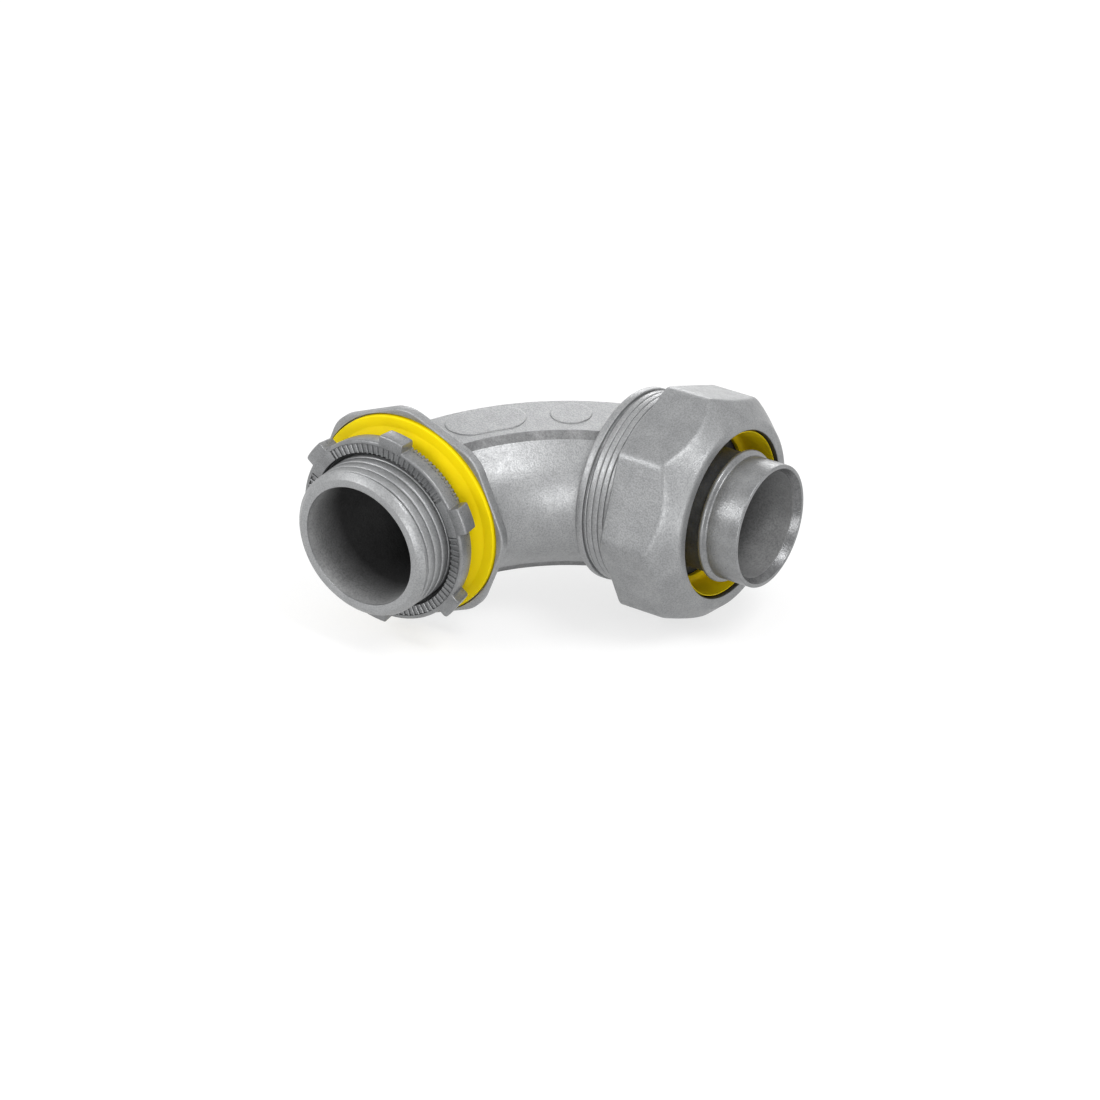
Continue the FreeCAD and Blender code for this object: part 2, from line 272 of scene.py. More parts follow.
def cleaned(mesh: Mesh, sharp_deg: float = 38.0) -> Mesh:
    """Merge doubled points, turn the faces outward and keep only real edges sharp.

    Args:
        mesh: The mesh to clean.
        sharp_deg: The angle past which an edge is shown sharp.

    Returns:
        The same mesh.
    """
    work = bmesh.new()
    work.from_mesh(mesh)
    bmesh.ops.remove_doubles(work, verts=work.verts, dist=MERGE_MM * MM)
    bmesh.ops.dissolve_degenerate(work, dist=SPECK_MM * MM, edges=work.edges)
    bmesh.ops.recalc_face_normals(work, faces=work.faces)
    work.to_mesh(mesh)
    work.free()
    mesh.polygons.foreach_set("use_smooth", [True] * len(mesh.polygons))
    mesh.set_sharp_from_angle(angle=math.radians(sharp_deg))
    mesh.update()
    return mesh


def joined(name: str, meshes: Sequence[Mesh]) -> Object:
    """Put several meshes into one object.

    Args:
        name: The object's name.
        meshes: The meshes, already in place.

    Returns:
        The new object, linked to the scene.
    """
    parts = [bpy.data.objects.new(f"{name}_{i}", mesh) for i, mesh in enumerate(meshes)]
    for part in parts:
        bpy.context.scene.collection.objects.link(part)
    main = parts[0]
    if len(parts) > 1:
        with bpy.context.temp_override(active_object=main, selected_editable_objects=parts, object=main):
            bpy.ops.object.join()
    main.name = name
    main.data.name = name
    return main


def plate(name: str, outlines: Sequence[np.ndarray]) -> Mesh:
    """A closed plate whose side follows rings of equal length, with flat ends.

    Args:
        name: The mesh's name.
        outlines: The rings of points in millimetres, from the bottom to the top.

    Returns:
        The mesh in metres.
    """
    count = len(outlines[0])
    points = np.concatenate(outlines) * MM
    faces = [list(range(count))[::-1]]
    for level in range(len(outlines) - 1):
        base = level * count
        for i in range(count):
            following = (i + 1) % count
            faces.append([base + i, base + following, base + count + following, base + count + i])
    top = (len(outlines) - 1) * count
    faces.append([top + i for i in range(count)])
    mesh = bpy.data.meshes.new(name)
    mesh.from_pydata(points.tolist(), [], faces)
    return cleaned(mesh, PLATE_SHARP_DEG)


@dataclass(frozen=True)
class Thread:
    """A right-handed screw thread, cut down from a surface of crests."""

    pitch: float
    depth: float
    fullness: float
    phase: float = 0.0
    shares: tuple[float, ...] = (0.0, 0.6, 0.76, 0.86, 0.93, 0.975)

    def fall(self, from_crest: np.ndarray) -> np.ndarray:
        """How far below the crests the thread is, at a share of the half pitch from a crest's middle."""
        return self.depth * np.abs(from_crest) ** self.fullness

    def rows(self, columns: np.ndarray, first: float, last: float) -> list[tuple[np.ndarray, np.ndarray]]:
        """Rows of points that follow the helix.

        Args:
            columns: The angles round the axis.
            first: Where the thread starts along the axis.
            last: Where it ends.

        Returns:
            For each row, the places along the axis and how far below the crests they are.
        """
        offsets = sorted({side * share * self.pitch / 2 for share in self.shares for side in (-1, 1)})
        offsets.append(self.pitch / 2)
        turns = columns / FULL_TURN
        lowest = math.floor((first - self.phase) / self.pitch) - 1
        highest = math.ceil((last - self.phase) / self.pitch) + 1
        rows = []
        for turn in range(lowest, highest + 1):
            for offset in offsets:
                along = self.phase + self.pitch * (turn + turns) + offset
                along = np.clip(along, first, last)
                cycle = (along - self.phase) / self.pitch - turns
                from_crest = np.abs((cycle + 0.5) % 1.0 - 0.5) * 2.0
                rows.append((along, self.fall(from_crest)))
        return rows


# The pieces


@dataclass
class ElbowCasting:
    """The die-cast elbow: threaded hub, flange, bend with its flat rails, collar and gland thread."""

    bore: float = 13.4
    sweep: float = 46.4
    sweep_start_y: float = -9.4
    tube: float = 16.1
    rail_top: float = 16.4
    rail_half: float = 6.65
    rail_shoulder: float = 14.7
    rail_side: float = 7.8
    rail_round: float = 0.1
    shoulder_round: float = 0.06
    shoulder_curl: float = 0.3
    curl_round: float = 0.2
    cheek_foot_deg: float = 47.0
    cheek_blend: float = 0.8
    mouth_y: float = -17.3
    mouth_rim: float = 15.2
    mouth_round: float = 0.3
    mouth_slope: float = 1.05
    throat_round: float = 0.35
    throat_bulge: Point2 = (0.1, 0.12)
    hub_crest: float = 16.75
    hub_free_crest: float = 16.45
    hub_straight_y: float = -9.2
    recess_y: float = 1.0
    recess: float = 22.8
    recess_start: float = 18.0
    recess_round: float = 0.15
    recess_edge: Point2 = (0.12, 0.1)
    lip_least: float = 0.14
    flange_half_flats: float = 23.2
    flange_corner: float = 3.7
    flange_back_y: float = 2.2
    flange_round: float = 0.35
    flare: float = 4.0
    collar_x: float = 31.8
    collar_end_x: float = 33.6
    collar: float = 21.2
    collar_round: float = 0.5
    collar_back_round: float = 0.2
    gland_crest: float = 20.9
    gland_end_x: float = 47.5
    gland_lead: float = 0.8
    end_face: float = 19.0
    bore_bevel: float = 0.3
    pad_height: float = 0.17
    pad_half: float = 5.0
    pad_outset: float = 0.7
    long_pad_deg: Point2 = (24.5, 46.0)
    round_pad_reach: float = 4.5
    round_pad_deg: float = 57.6
    relief: float = 20.4
    relief_length: float = 0.3
    relief_round: float = 0.1
    relief_slope: float = 2.0

    HUB_THREAD = Thread(pitch=25.4 / 11.5, depth=0.6, fullness=9.0, phase=-12.75)
    GLAND_THREAD = Thread(pitch=25.4 / 18.0, depth=0.3, fullness=9.0, phase=34.45)

    COLUMN_STEP_DEG = 1.875
    EDGE_SPREAD_DEG = (-0.9, -0.35, 0.0, 0.35, 0.9)
    FLANGE_STEPS = 12
    FLARE_STEPS = 8
    COLLAR_BACK_STEPS = 3
    BEND_RINGS = 41
    WIREWAY_RINGS = 33
    PAD_ARC_POINTS = 21
    PAD_SIDE_POINTS = 15
    PAD_ROUND_POINTS = 65
    PAD_FOOT = (-0.2, 0.0)
    PAD_RIM = ((-0.1, 0.0), (-0.03, 0.06), (0.0, 0.2), (0.0, 0.35))
    CAST_SLOPE = (0.3, 0.75)
    THROAT_DEPTH = 0.5
    FLANGE_MARGIN = 1.0
    FACE_MARGIN = 0.05

    def section(self) -> Outline:
        """The bend's outline: a round tube with a drafted flat rail above and below.

        Returns:
            The outline, square to the wireway.
        """
        lowest = self.cheek_foot_deg
        side, shoulder, rounding = self.rail_side, self.rail_shoulder, self.shoulder_round
        rail = [(*polar(self.tube, math.radians(lowest)), self.cheek_blend),
                (side + self.shoulder_curl, shoulder - self.shoulder_curl, self.curl_round),
                (side + 2 * rounding, shoulder - rounding, rounding), (side, shoulder, rounding),
                (self.rail_half, self.rail_top, self.rail_round)]
        rail += [(-x, z, cut) for x, z, cut in reversed(rail)]
        corners = rail + self.tube_arc(180.0 - lowest, 180.0 + lowest)
        corners += [(-x, -z, cut) for x, z, cut in rail]
        return Outline(softened(corners + self.tube_arc(-lowest, lowest)))

    def tube_arc(self, first_deg: float, last_deg: float) -> list[Triple]:
        """Corners along the tube's round side, one to a degree."""
        turns = np.arange(first_deg + 1.0, last_deg, 1.0)
        return [(*polar(self.tube, math.radians(turn)), 0.0) for turn in turns]

    def rail_edges_deg(self) -> list[float]:
        """The angles of the rails' edges round the section.

        Returns:
            The angles, in degrees.
        """
        curl = self.shoulder_curl / 2
        places = [(self.rail_side + curl, self.rail_shoulder - curl), (self.rail_half, self.rail_top)]
        first = [self.cheek_foot_deg, *(math.degrees(math.atan2(z, x)) for x, z in places)]
        return [turn for edge in first for turn in (edge, 180.0 - edge, 180.0 + edge, -edge)]

    def flange_outline(self) -> Outline:
        """The flange's eight-sided outline with a corner up."""
        reach = self.flange_half_flats / math.cos(SIDE_TURN / 2)
        return octagon(reach, self.flange_corner, self.FLANGE_STEPS)

    def bend_ring(self, columns: np.ndarray, radius: np.ndarray, turn: np.ndarray) -> np.ndarray:
        """One ring of the bend.

        Args:
            columns: The angles round the section, 0 being the outside of the bend.
            radius: The section's radius at each angle.
            turn: How far round the bend each point is, in radians from the hub's end.

        Returns:
            The ring's points.
        """
        reach = self.sweep + radius * np.cos(columns)
        x = self.sweep - reach * np.cos(turn)
        y = self.sweep_start_y + reach * np.sin(turn)
        return np.stack([x, y, radius * np.sin(columns)], axis=1)

    def turn_at_y(self, columns: np.ndarray, radius: np.ndarray, y: float) -> np.ndarray:
        """How far round the bend each point is where it crosses a plane square to the hub."""
        return np.arcsin((y - self.sweep_start_y) / (self.sweep + radius * np.cos(columns)))

    def turn_at_x(self, columns: np.ndarray, radius: np.ndarray, x: float) -> np.ndarray:
        """How far round the bend each point is where it crosses a plane square to the gland."""
        return np.arccos((self.sweep - x) / (self.sweep + radius * np.cos(columns)))

    def add_hub(self, shell: RingShell) -> None:
        """The hub from the throat's edge out over the mouth and along the thread to the recess.

        Args:
            shell: The casting's shell so far.
        """
        bulge_y, bulge = self.throat_bulge
        shell.add_profile(HUB_AXIS, [(self.mouth_y + self.throat_round, self.bore),
                                     (self.mouth_y + bulge_y, self.bore + bulge),
                                     (self.mouth_y, self.bore + self.throat_round),
                                     (self.mouth_y, self.mouth_rim - self.mouth_round)])
        taper_y = np.array([self.mouth_y, self.hub_straight_y, self.recess_y])
        taper_r = np.array([self.hub_free_crest, self.hub_crest, self.hub_crest])
        for along, fall in self.HUB_THREAD.rows(shell.columns, self.mouth_y, self.recess_y):
            crest = np.interp(along, taper_y, taper_r)
            lead_in = self.mouth_rim + (along - self.mouth_y) * self.mouth_slope
            shell.add_turned(HUB_AXIS, along, np.minimum(crest - fall, lead_in))

    def add_flange(self, shell: RingShell) -> None:
        """The recess for the sealing ring, the flange's lip, its side and its back.

        Args:
            shell: The casting's shell so far.
        """
        edge_y, edge = self.recess_edge
        shell.add_profile(HUB_AXIS, [(self.recess_y, self.recess_start),
                                     (self.recess_y, self.recess - self.recess_round),
                                     (self.recess_y - self.recess_round, self.recess),
                                     (edge_y, self.recess), (0.0, self.recess + edge)])
        outline = self.flange_outline().radius(shell.columns)
        for depth, inset in edge_arc(self.flange_round):
            shell.add_turned(HUB_AXIS, depth, np.maximum(outline - inset, self.recess + self.lip_least))
        for depth, inset in reversed(edge_arc(self.flange_round)):
            shell.add_turned(HUB_AXIS, self.flange_back_y - depth, outline - inset)

    def add_bend(self, shell: RingShell) -> None:
        """The flare on the flange's back and the bend up to the collar.

        Args:
            shell: The casting's shell so far.
        """
        columns = shell.columns
        radius = self.section().radius(columns)
        for depth, outset in edge_arc(self.flare, self.FLARE_STEPS)[:-1]:
            wide = radius + outset
            turn = self.turn_at_y(columns, wide, self.flange_back_y + depth)
            shell.add(self.bend_ring(columns, wide, turn))
        start = self.turn_at_y(columns, radius, self.flange_back_y + self.flare)
        end = self.turn_at_x(columns, radius, self.collar_x)
        for share in np.linspace(0.0, 1.0, self.BEND_RINGS):
            shell.add(self.bend_ring(columns, radius, start + (end - start) * share))

    def add_gland(self, shell: RingShell) -> None:
        """The collar, the gland thread and the end face.

        Args:
            shell: The casting's shell so far.
        """
        for depth, inset in edge_arc(self.collar_round):
            shell.add_turned(GLAND_AXIS, self.collar_x + depth, self.collar - inset)
        for depth, inset in reversed(edge_arc(self.collar_back_round, self.COLLAR_BACK_STEPS)):
            shell.add_turned(GLAND_AXIS, self.collar_end_x - depth, self.collar - inset)
        thread_x = self.collar_end_x + self.relief_length
        relief_top = self.relief + self.relief_round
        shell.add_profile(GLAND_AXIS, [(self.collar_end_x, relief_top),
                                       (self.collar_end_x + self.relief_round, self.relief),
                                       (thread_x, self.relief)])
        for along, fall in self.GLAND_THREAD.rows(shell.columns, thread_x, self.gland_end_x):
            lead_in = relief_top + (along - thread_x) * self.relief_slope
            lead_out = self.gland_crest - self.gland_lead + (self.gland_end_x - along)
            crest = self.gland_crest - fall
            shell.add_turned(GLAND_AXIS, along, np.minimum(crest, np.minimum(lead_in, lead_out)))
        shell.add_profile(GLAND_AXIS, [(self.gland_end_x, self.end_face),
                                       (self.gland_end_x, self.bore + self.bore_bevel),
                                       (self.gland_end_x - self.bore_bevel, self.bore)])

    def add_wireway(self, shell: RingShell) -> None:
        """The round passage back through the bend to the throat.

        Args:
            shell: The casting's shell so far.
        """
        bore = np.full(shell.columns.shape, self.bore)
        for share in np.linspace(1.0, 0.0, self.WIREWAY_RINGS):
            turn = np.full(shell.columns.shape, math.pi / 2 * share)
            shell.add(self.bend_ring(shell.columns, bore, turn))

    def pad_levels(self) -> list[Point2]:
        """The steps of a pad's side and rim: height over the rail and inset."""
        return [self.PAD_FOOT, *((self.pad_height + step, inset) for step, inset in self.PAD_RIM)]

    def long_pad(self) -> Mesh:
        """The long blank pad that stands on the top rail.

        Returns:
            The pad's mesh.
        """
        middle = self.sweep + self.pad_outset
        end_turn = self.pad_half / middle
        first = math.radians(self.long_pad_deg[0]) + end_turn
        last = math.radians(self.long_pad_deg[1]) - end_turn
        arc = np.linspace(0, math.pi, self.PAD_ARC_POINTS)
        rings = []
        for height, inset in self.pad_levels():
            half = self.pad_half - inset
            across = [(middle + half * math.cos(t), last + half * math.sin(t) / middle) for t in arc]
            across += [(middle - half, t) for t in np.linspace(last, first, self.PAD_SIDE_POINTS)[1:-1]]
            across += [(middle - half * math.cos(t), first - half * math.sin(t) / middle) for t in arc]
            across += [(middle + half, t) for t in np.linspace(first, last, self.PAD_SIDE_POINTS)[1:-1]]
            rings.append(np.array([(self.sweep - r * math.cos(t), self.sweep_start_y + r * math.sin(t),
                                    self.rail_top + height) for r, t in across]))
        return plate("long_pad", rings)

    def round_pad(self) -> Mesh:
        """The round blank pad beside it.

        Returns:
            The pad's mesh.
        """
        turn = math.radians(self.round_pad_deg)
        from_centre = self.sweep + self.pad_outset
        middle = (self.sweep - from_centre * math.cos(turn),
                  self.sweep_start_y + from_centre * math.sin(turn))
        rings = []
        for height, inset in self.pad_levels():
            reach = self.round_pad_reach - inset
            turns = np.linspace(0, FULL_TURN, self.PAD_ROUND_POINTS)[:-1]
            rings.append(np.array([(middle[0] + reach * math.cos(t), middle[1] + reach * math.sin(t),
                                    self.rail_top + height) for t in turns]))
        return plate("round_pad", rings)

    def from_centreline(self, x: float, y: float, z: float) -> float:
        """Distance of a point from the wireway's centreline.

        Args:
            x: The point's X in millimetres.
            y: Its Y.
            z: Its Z.

        Returns:
            The distance in millimetres.
        """
        if y < self.sweep_start_y:
            return math.hypot(x, z)
        if x > self.sweep:
            return math.hypot(y - self.sweep - self.sweep_start_y, z)
        return math.hypot(math.hypot(x - self.sweep, y - self.sweep_start_y) - self.sweep, z)

    def is_wireway(self, face: Face) -> bool:
        """Tell the wireway's wall from the rest.

        Args:
            face: A face of the casting.

        Returns:
            Whether the face is on the wireway's wall.
        """
        x, y, z = face.center / MM
        in_throat = y > self.mouth_y + self.THROAT_DEPTH
        return in_throat and self.from_centreline(x, y, z) < self.bore + self.FACE_MARGIN

    def is_rail_side(self, face: Face) -> bool:
        """Tell the rails' drafted sides, which are darkened with painted shade, from the rest.

        Args:
            face: A face of the casting.

        Returns:
            Whether the face is on a rail's drafted side.
        """
        x, y, z = face.center / MM
        on_bend = self.flange_back_y + self.FLANGE_MARGIN < y and x < self.collar_x
        on_side = self.rail_shoulder < abs(z) < self.rail_top - self.FACE_MARGIN
        flattest, steepest = self.CAST_SLOPE
        return on_bend and on_side and flattest < abs(face.normal.z) < steepest

    def build(self) -> Object:
        """Build the whole casting as one piece.

        Returns:
            The casting.
        """
        shell = RingShell(ring_columns(self.COLUMN_STEP_DEG, self.rail_edges_deg(), self.EDGE_SPREAD_DEG))
        for add in (self.add_hub, self.add_flange, self.add_bend, self.add_gland, self.add_wireway):
            add(shell)
        return joined("elbow_casting", [shell.mesh("elbow_shell"), self.long_pad(), self.round_pad()])


@dataclass
class SealingRing:
    """The yellow ring in the flange's recess: a flat rim and an inner band that rises to the hub."""

    bore: float = 17.05
    outer: float = 22.5
    back_y: float = 0.98
    front_y: float = -0.7
    crease: float = 20.2
    crease_round: float = 0.2
    rise: float = 1.2
    top_flat: float = 0.25
    edge: float = 0.1

    COLUMN_STEP_DEG = 2.5

    def build(self) -> Object:
        """Build the ring.

        Returns:
            The ring.
        """
        top_y = self.front_y - self.rise
        corners = [(self.back_y, self.bore, self.edge), (self.back_y, self.outer, self.edge),
                   (self.front_y, self.outer, self.edge), (self.front_y, self.crease, self.crease_round),
                   (top_y, self.bore + self.top_flat, self.edge), (top_y, self.bore, self.edge)]
        shell = RingShell(ring_columns(self.COLUMN_STEP_DEG))
        shell.add_profile(HUB_AXIS, softened(corners, TURNED_STEPS))
        return joined("sealing_ring", [shell.mesh("sealing_ring")])


class RodLie(Enum):
    """Which way the small rods of a toothed band point."""

    OUTWARD = (1.0, 0.0)
    ALONG_HUB = (0.0, 1.0)


@dataclass(frozen=True)
class ToothedBand:
    """A band of small rounded teeth round the hub's axis."""

    count: int
    first_deg: float
    step_deg: float
    radius: float
    place_y: float
    length: float
    thickness: float
    lie: RodLie


class ToothTree:
    """The node tree that sets rounded rods round the hub's axis and joins them to a nut."""

    LENGTHS = ("First angle", "Step angle", "Ring radius", "Place along hub", "Tooth length", "Tooth radius",
               "Outward share", "Hub share")
    SIZES = (("Teeth", "NodeSocketInt"), *((label, "NodeSocketFloat") for label in LENGTHS),
             ("Finish", "NodeSocketMaterial"))

    def __init__(self, name: str) -> None:
        """Build the tree.

        Args:
            name: The tree's name.
        """
        self.tree = bpy.data.node_groups.new(name, "GeometryNodeTree")
        interface = self.tree.interface
        interface.new_socket(name="Geometry", in_out="INPUT", socket_type="NodeSocketGeometry")
        self.inputs = {label: interface.new_socket(name=label, in_out="INPUT", socket_type=kind).identifier
                       for label, kind in self.SIZES}
        interface.new_socket(name="Geometry", in_out="OUTPUT", socket_type="NodeSocketGeometry")
        self.wire()

    def node(self, kind: str, operation: str | None = None) -> bpy.types.Node:
        """Add a node, with its operation if it has one.

        Args:
            kind: The node's type.
            operation: What it works out, for a maths node.

        Returns:
            The node.
        """
        node = self.tree.nodes.new(kind)
        if operation is not None:
            node.operation = operation
        return node

    def math(self, operation: str, first: Socket, second: Socket | None = None) -> Socket:
        """Add a number node and return its result.

        Args:
            operation: The operation's name.
            first: The first value.
            second: The second value, if it has one.

        Returns:
            The node's result.
        """
        node = self.node("ShaderNodeMath", operation)
        self.tree.links.new(first, node.inputs[0])
        if second is not None:
            self.tree.links.new(second, node.inputs[1])
        return node.outputs[0]

    def vector(self, x: Socket | None, y: Socket | None, z: Socket | None) -> Socket:
        """Combine three numbers into a vector, leaving out those that are nothing.

        Args:
            x: The X value, or nothing.
            y: The Y value, or nothing.
            z: The Z value, or nothing.

        Returns:
            The vector.
        """
        node = self.node("ShaderNodeCombineXYZ")
        for socket, value in zip(node.inputs, (x, y, z)):
            if value is not None:
                self.tree.links.new(value, socket)
        return node.outputs[0]

    def wire(self) -> None:
        """Join the nodes: points on the ring, a rod on each, then one plain mesh."""
        link = self.tree.links.new
        source = self.node("NodeGroupInput")
        index = self.node("GeometryNodeInputIndex").outputs[0]
        angle = self.math("ADD", source.outputs["First angle"],
                          self.math("MULTIPLY", index, source.outputs["Step angle"]))
        east = self.math("COSINE", angle)
        north = self.math("SINE", angle)
        radius = source.outputs["Ring radius"]
        place = self.vector(self.math("MULTIPLY", east, radius), source.outputs["Place along hub"],
                            self.math("MULTIPLY", north, radius))
        outward = source.outputs["Outward share"]
        lie = self.vector(self.math("MULTIPLY", east, outward), source.outputs["Hub share"],
                          self.math("MULTIPLY", north, outward))
        points = self.node("GeometryNodePoints")
        link(source.outputs["Teeth"], points.inputs["Count"])
        link(place, points.inputs["Position"])
        align = self.node("FunctionNodeAlignRotationToVector")
        align.axis = "Z"
        link(lie, align.inputs["Vector"])
        rod = self.node("GeometryNodeMeshCylinder")
        rod.inputs["Vertices"].default_value = ROD_SIDES
        link(source.outputs["Tooth length"], rod.inputs["Depth"])
        link(source.outputs["Tooth radius"], rod.inputs["Radius"])
        placed = self.node("GeometryNodeInstanceOnPoints")
        link(points.outputs[0], placed.inputs["Points"])
        link(rod.outputs["Mesh"], placed.inputs["Instance"])
        link(align.outputs[0], placed.inputs["Rotation"])
        together = self.node("GeometryNodeJoinGeometry")
        link(placed.outputs[0], together.inputs[0])
        link(source.outputs["Geometry"], together.inputs[0])
        realized = self.node("GeometryNodeRealizeInstances")
        link(together.outputs[0], realized.inputs[0])
        finish = self.node("GeometryNodeSetMaterial")
        link(realized.outputs[0], finish.inputs["Geometry"])
        link(source.outputs["Finish"], finish.inputs["Material"])
        target = self.node("NodeGroupOutput")
        link(finish.outputs[0], target.inputs[0])

    def apply(self, piece: Object, bands: Sequence[ToothedBand], finish: Material) -> None:
        """Set bands of teeth on a piece and leave it a plain mesh.

        Args:
            piece: The piece that gets the teeth.
            bands: The bands of teeth.
            finish: The material of the whole piece.
        """
        for band in bands:
            modifier = piece.modifiers.new("teeth", "NODES")
            modifier.node_group = self.tree
            outward, along_hub = band.lie.value
            values = {"Teeth": band.count, "First angle": math.radians(band.first_deg),
                      "Step angle": math.radians(band.step_deg), "Ring radius": band.radius * MM,
                      "Place along hub": band.place_y * MM, "Tooth length": band.length * MM,
                      "Tooth radius": band.thickness * MM, "Outward share": outward, "Hub share": along_hub,
                      "Finish": finish}
            for label, value in values.items():
                modifier[self.inputs[label]] = value
        bpy.context.view_layer.update()
        evaluated = piece.evaluated_get(bpy.context.evaluated_depsgraph_get())
        mesh = bpy.data.meshes.new_from_object(evaluated)
        piece.modifiers.clear()
        piece.data = mesh
        mesh.name = piece.name


@dataclass
class Locknut:
    """The six-lugged nut on the hub, with a ribbed front face."""

    bore_crest: float = 16.77
    outer: float = 20.6
    draft: float = 0.4
    lug_reach: float = 22.6
    lug_half: float = 2.9
    lug_foot_round: float = 0.35
    lug_tip_round: float = 0.4
    lug_crown: float = 0.05
    lug_crown_half: float = 1.5
    lugs: int = 6
    first_lug_deg: float = 22.0
    front_y: float = -9.0
    back_y: float = -5.0
    mouth: float = 17.6
    mouth_depth: float = 1.8
    mouth_slope: float = 1.6
    back_bore: float = 16.95
    front_round: float = 0.45
    back_round: float = 0.25
    rim: float = 19.75
    channel_round: float = 0.1
    channel_side: float = 0.12
    rim_drop: float = 0.04
    rim_lead: float = 0.08
    rim_flat: float = 0.2
    rib_sink: float = 0.36
    rib_end_gap: float = 0.14
    rib_radius: float = 0.3
    rib_step_deg: float = 4.1
    rib_stretches: tuple[tuple[float, int], ...] = ((39.0, 23), (157.0, 53))

    COLUMN_STEP_DEG = 1.875
    EDGE_SPREAD_DEG = (-1.2, -0.6, -0.25, 0.0, 0.25, 0.6, 1.2)
    SIDE_MARGIN_DEG = 1.5
    SIDE_POINTS = 24
    THREAD = Thread(pitch=25.4 / 11.5, depth=0.6, fullness=9.0, phase=-12.75)

    def outline(self) -> Outline:
        """The nut's outline from the front, angles measured from the far side of the hub axis.

        Returns:
            The outline, with its lugs.
        """
        shoulder = math.sqrt(self.outer ** 2 - self.lug_half ** 2)
        top = math.sqrt(self.lug_reach ** 2 - self.lug_half ** 2)
        corners: list[Triple] = []
        gap_turn = math.degrees(math.asin(self.lug_half / self.outer)) + self.SIDE_MARGIN_DEG
        half = [(shoulder, self.lug_half, self.lug_foot_round), (top, self.lug_half, self.lug_tip_round),
                (self.lug_reach - self.lug_crown, self.lug_crown_half, 0.0)]
        lug_corners = [(out, -across, cut) for out, across, cut in half]
        lug_corners += [(self.lug_reach, 0.0, 0.0), *reversed(half)]
        for lug in range(self.lugs):
            middle = math.radians(self.lug_deg(lug))
            for out, across, cut in lug_corners:
                corners.append((out * math.cos(middle) - across * math.sin(middle),
                                out * math.sin(middle) + across * math.cos(middle), cut))
            first = self.lug_deg(lug) + gap_turn
            last = self.lug_deg(lug) + 360.0 / self.lugs - gap_turn
            for turn in np.linspace(first, last, self.SIDE_POINTS):
                corners.append((*polar(self.outer, math.radians(turn)), 0.0))
        return Outline(softened(corners))

    def lug_deg(self, lug: int) -> float:
        """A lug's angle round the hub axis, in the turning axis's own sense."""
        return 180.0 - self.first_lug_deg - 360.0 / self.lugs * (self.lugs - 1 - lug)

    def edges_deg(self) -> list[float]:
        """The angles of the lugs' sides.

        Returns:
            The angles, in degrees.
        """
        side = math.degrees(math.asin(self.lug_half / self.lug_reach))
        foot = math.degrees(math.asin(self.lug_half / self.outer))
        return [self.lug_deg(lug) + s * e for lug in range(self.lugs) for s in (-1, 1) for e in (side, foot)]

    def sink(self, columns: np.ndarray) -> np.ndarray:
        """How deep the ribs' channel is at each angle: nothing where a lug is left bare.

        Args:
            columns: The angles, in radians.

        Returns:
            The depth at each angle, in millimetres.
        """
        turn = (180.0 - np.degrees(columns)) % 360.0
        depth = np.zeros(columns.shape)
        for first, count in self.rib_stretches:
            from_start = (turn - first + self.rib_step_deg / 2) % 360.0
            depth[from_start < count * self.rib_step_deg] = self.rib_sink
        return depth

    def stretch_ends_deg(self) -> list[float]:
        """The ends of the ribbed stretches, in the turning axis's own sense.

        Returns:
            The angles, in degrees.
        """
        half = self.rib_step_deg / 2
        return [180.0 - turn for first, count in self.rib_stretches
                for turn in (first - half, first - half + count * self.rib_step_deg)]

    def rib_bands(self) -> list[ToothedBand]:
        """The ribs of the front face, which leave two lugs bare.

        Returns:
            One band for each ribbed stretch.
        """
        middle = (self.mouth + self.rim) / 2
        length = self.rim - self.mouth - self.rib_end_gap
        place_y = self.front_y + self.rib_radius
        return [ToothedBand(count, first, self.rib_step_deg, middle, place_y, length, self.rib_radius,
                            RodLie.OUTWARD) for first, count in self.rib_stretches]

    def edge_teeth(self) -> ToothedBand:
        """The fine teeth on the back edge, between two of the lugs."""
        return ToothedBand(count=15, first_deg=33.0, step_deg=2.9, radius=self.outer - self.draft - 0.1,
                           place_y=self.back_y - 0.46, length=0.9, thickness=0.34, lie=RodLie.ALONG_HUB)

    def build(self, finish: Material) -> Object:
        """Build the nut with its ribs and edge teeth.

        Args:
            finish: The nut's material.

        Returns:
            The finished piece.
        """
        edges = self.edges_deg() + self.stretch_ends_deg()
        shell = RingShell(ring_columns(self.COLUMN_STEP_DEG, edges, self.EDGE_SPREAD_DEG))
        outer = self.outline().radius(shell.columns)
        sink = self.front_y + self.sink(shell.columns)
        for along, radius in ((sink + self.channel_round, self.mouth),
                              (sink, self.mouth + self.channel_round), (sink, self.rim - self.channel_side),
                              (self.front_y + self.rim_drop, self.rim),
                              (self.front_y, self.rim + self.rim_lead),
                              (self.front_y, self.rim + self.rim_flat)):
            shell.add_turned(HUB_AXIS, along, radius)
        for depth, inset in edge_arc(self.front_round):
            shell.add_turned(HUB_AXIS, self.front_y + depth, outer - inset)
        for depth, inset in reversed(edge_arc(self.back_round)):
            shell.add_turned(HUB_AXIS, self.back_y - depth, outer - self.draft - inset)
        lead_y = self.front_y + self.mouth_depth
        rows = self.THREAD.rows(shell.columns, lead_y, self.back_y)
        for along, fall in reversed(rows):
            lead_in = self.mouth - (along - lead_y) * self.mouth_slope
            lead_out = self.back_bore - (self.back_y - along)
            wall = np.maximum(self.bore_crest - fall, np.maximum(lead_in, lead_out))
            shell.add_turned(HUB_AXIS, along, wall)
        piece = joined("locknut_ring", [shell.mesh("locknut_ring")])
        ToothTree("locknut_teeth").apply(piece, [*self.rib_bands(), self.edge_teeth()], finish)
        return piece


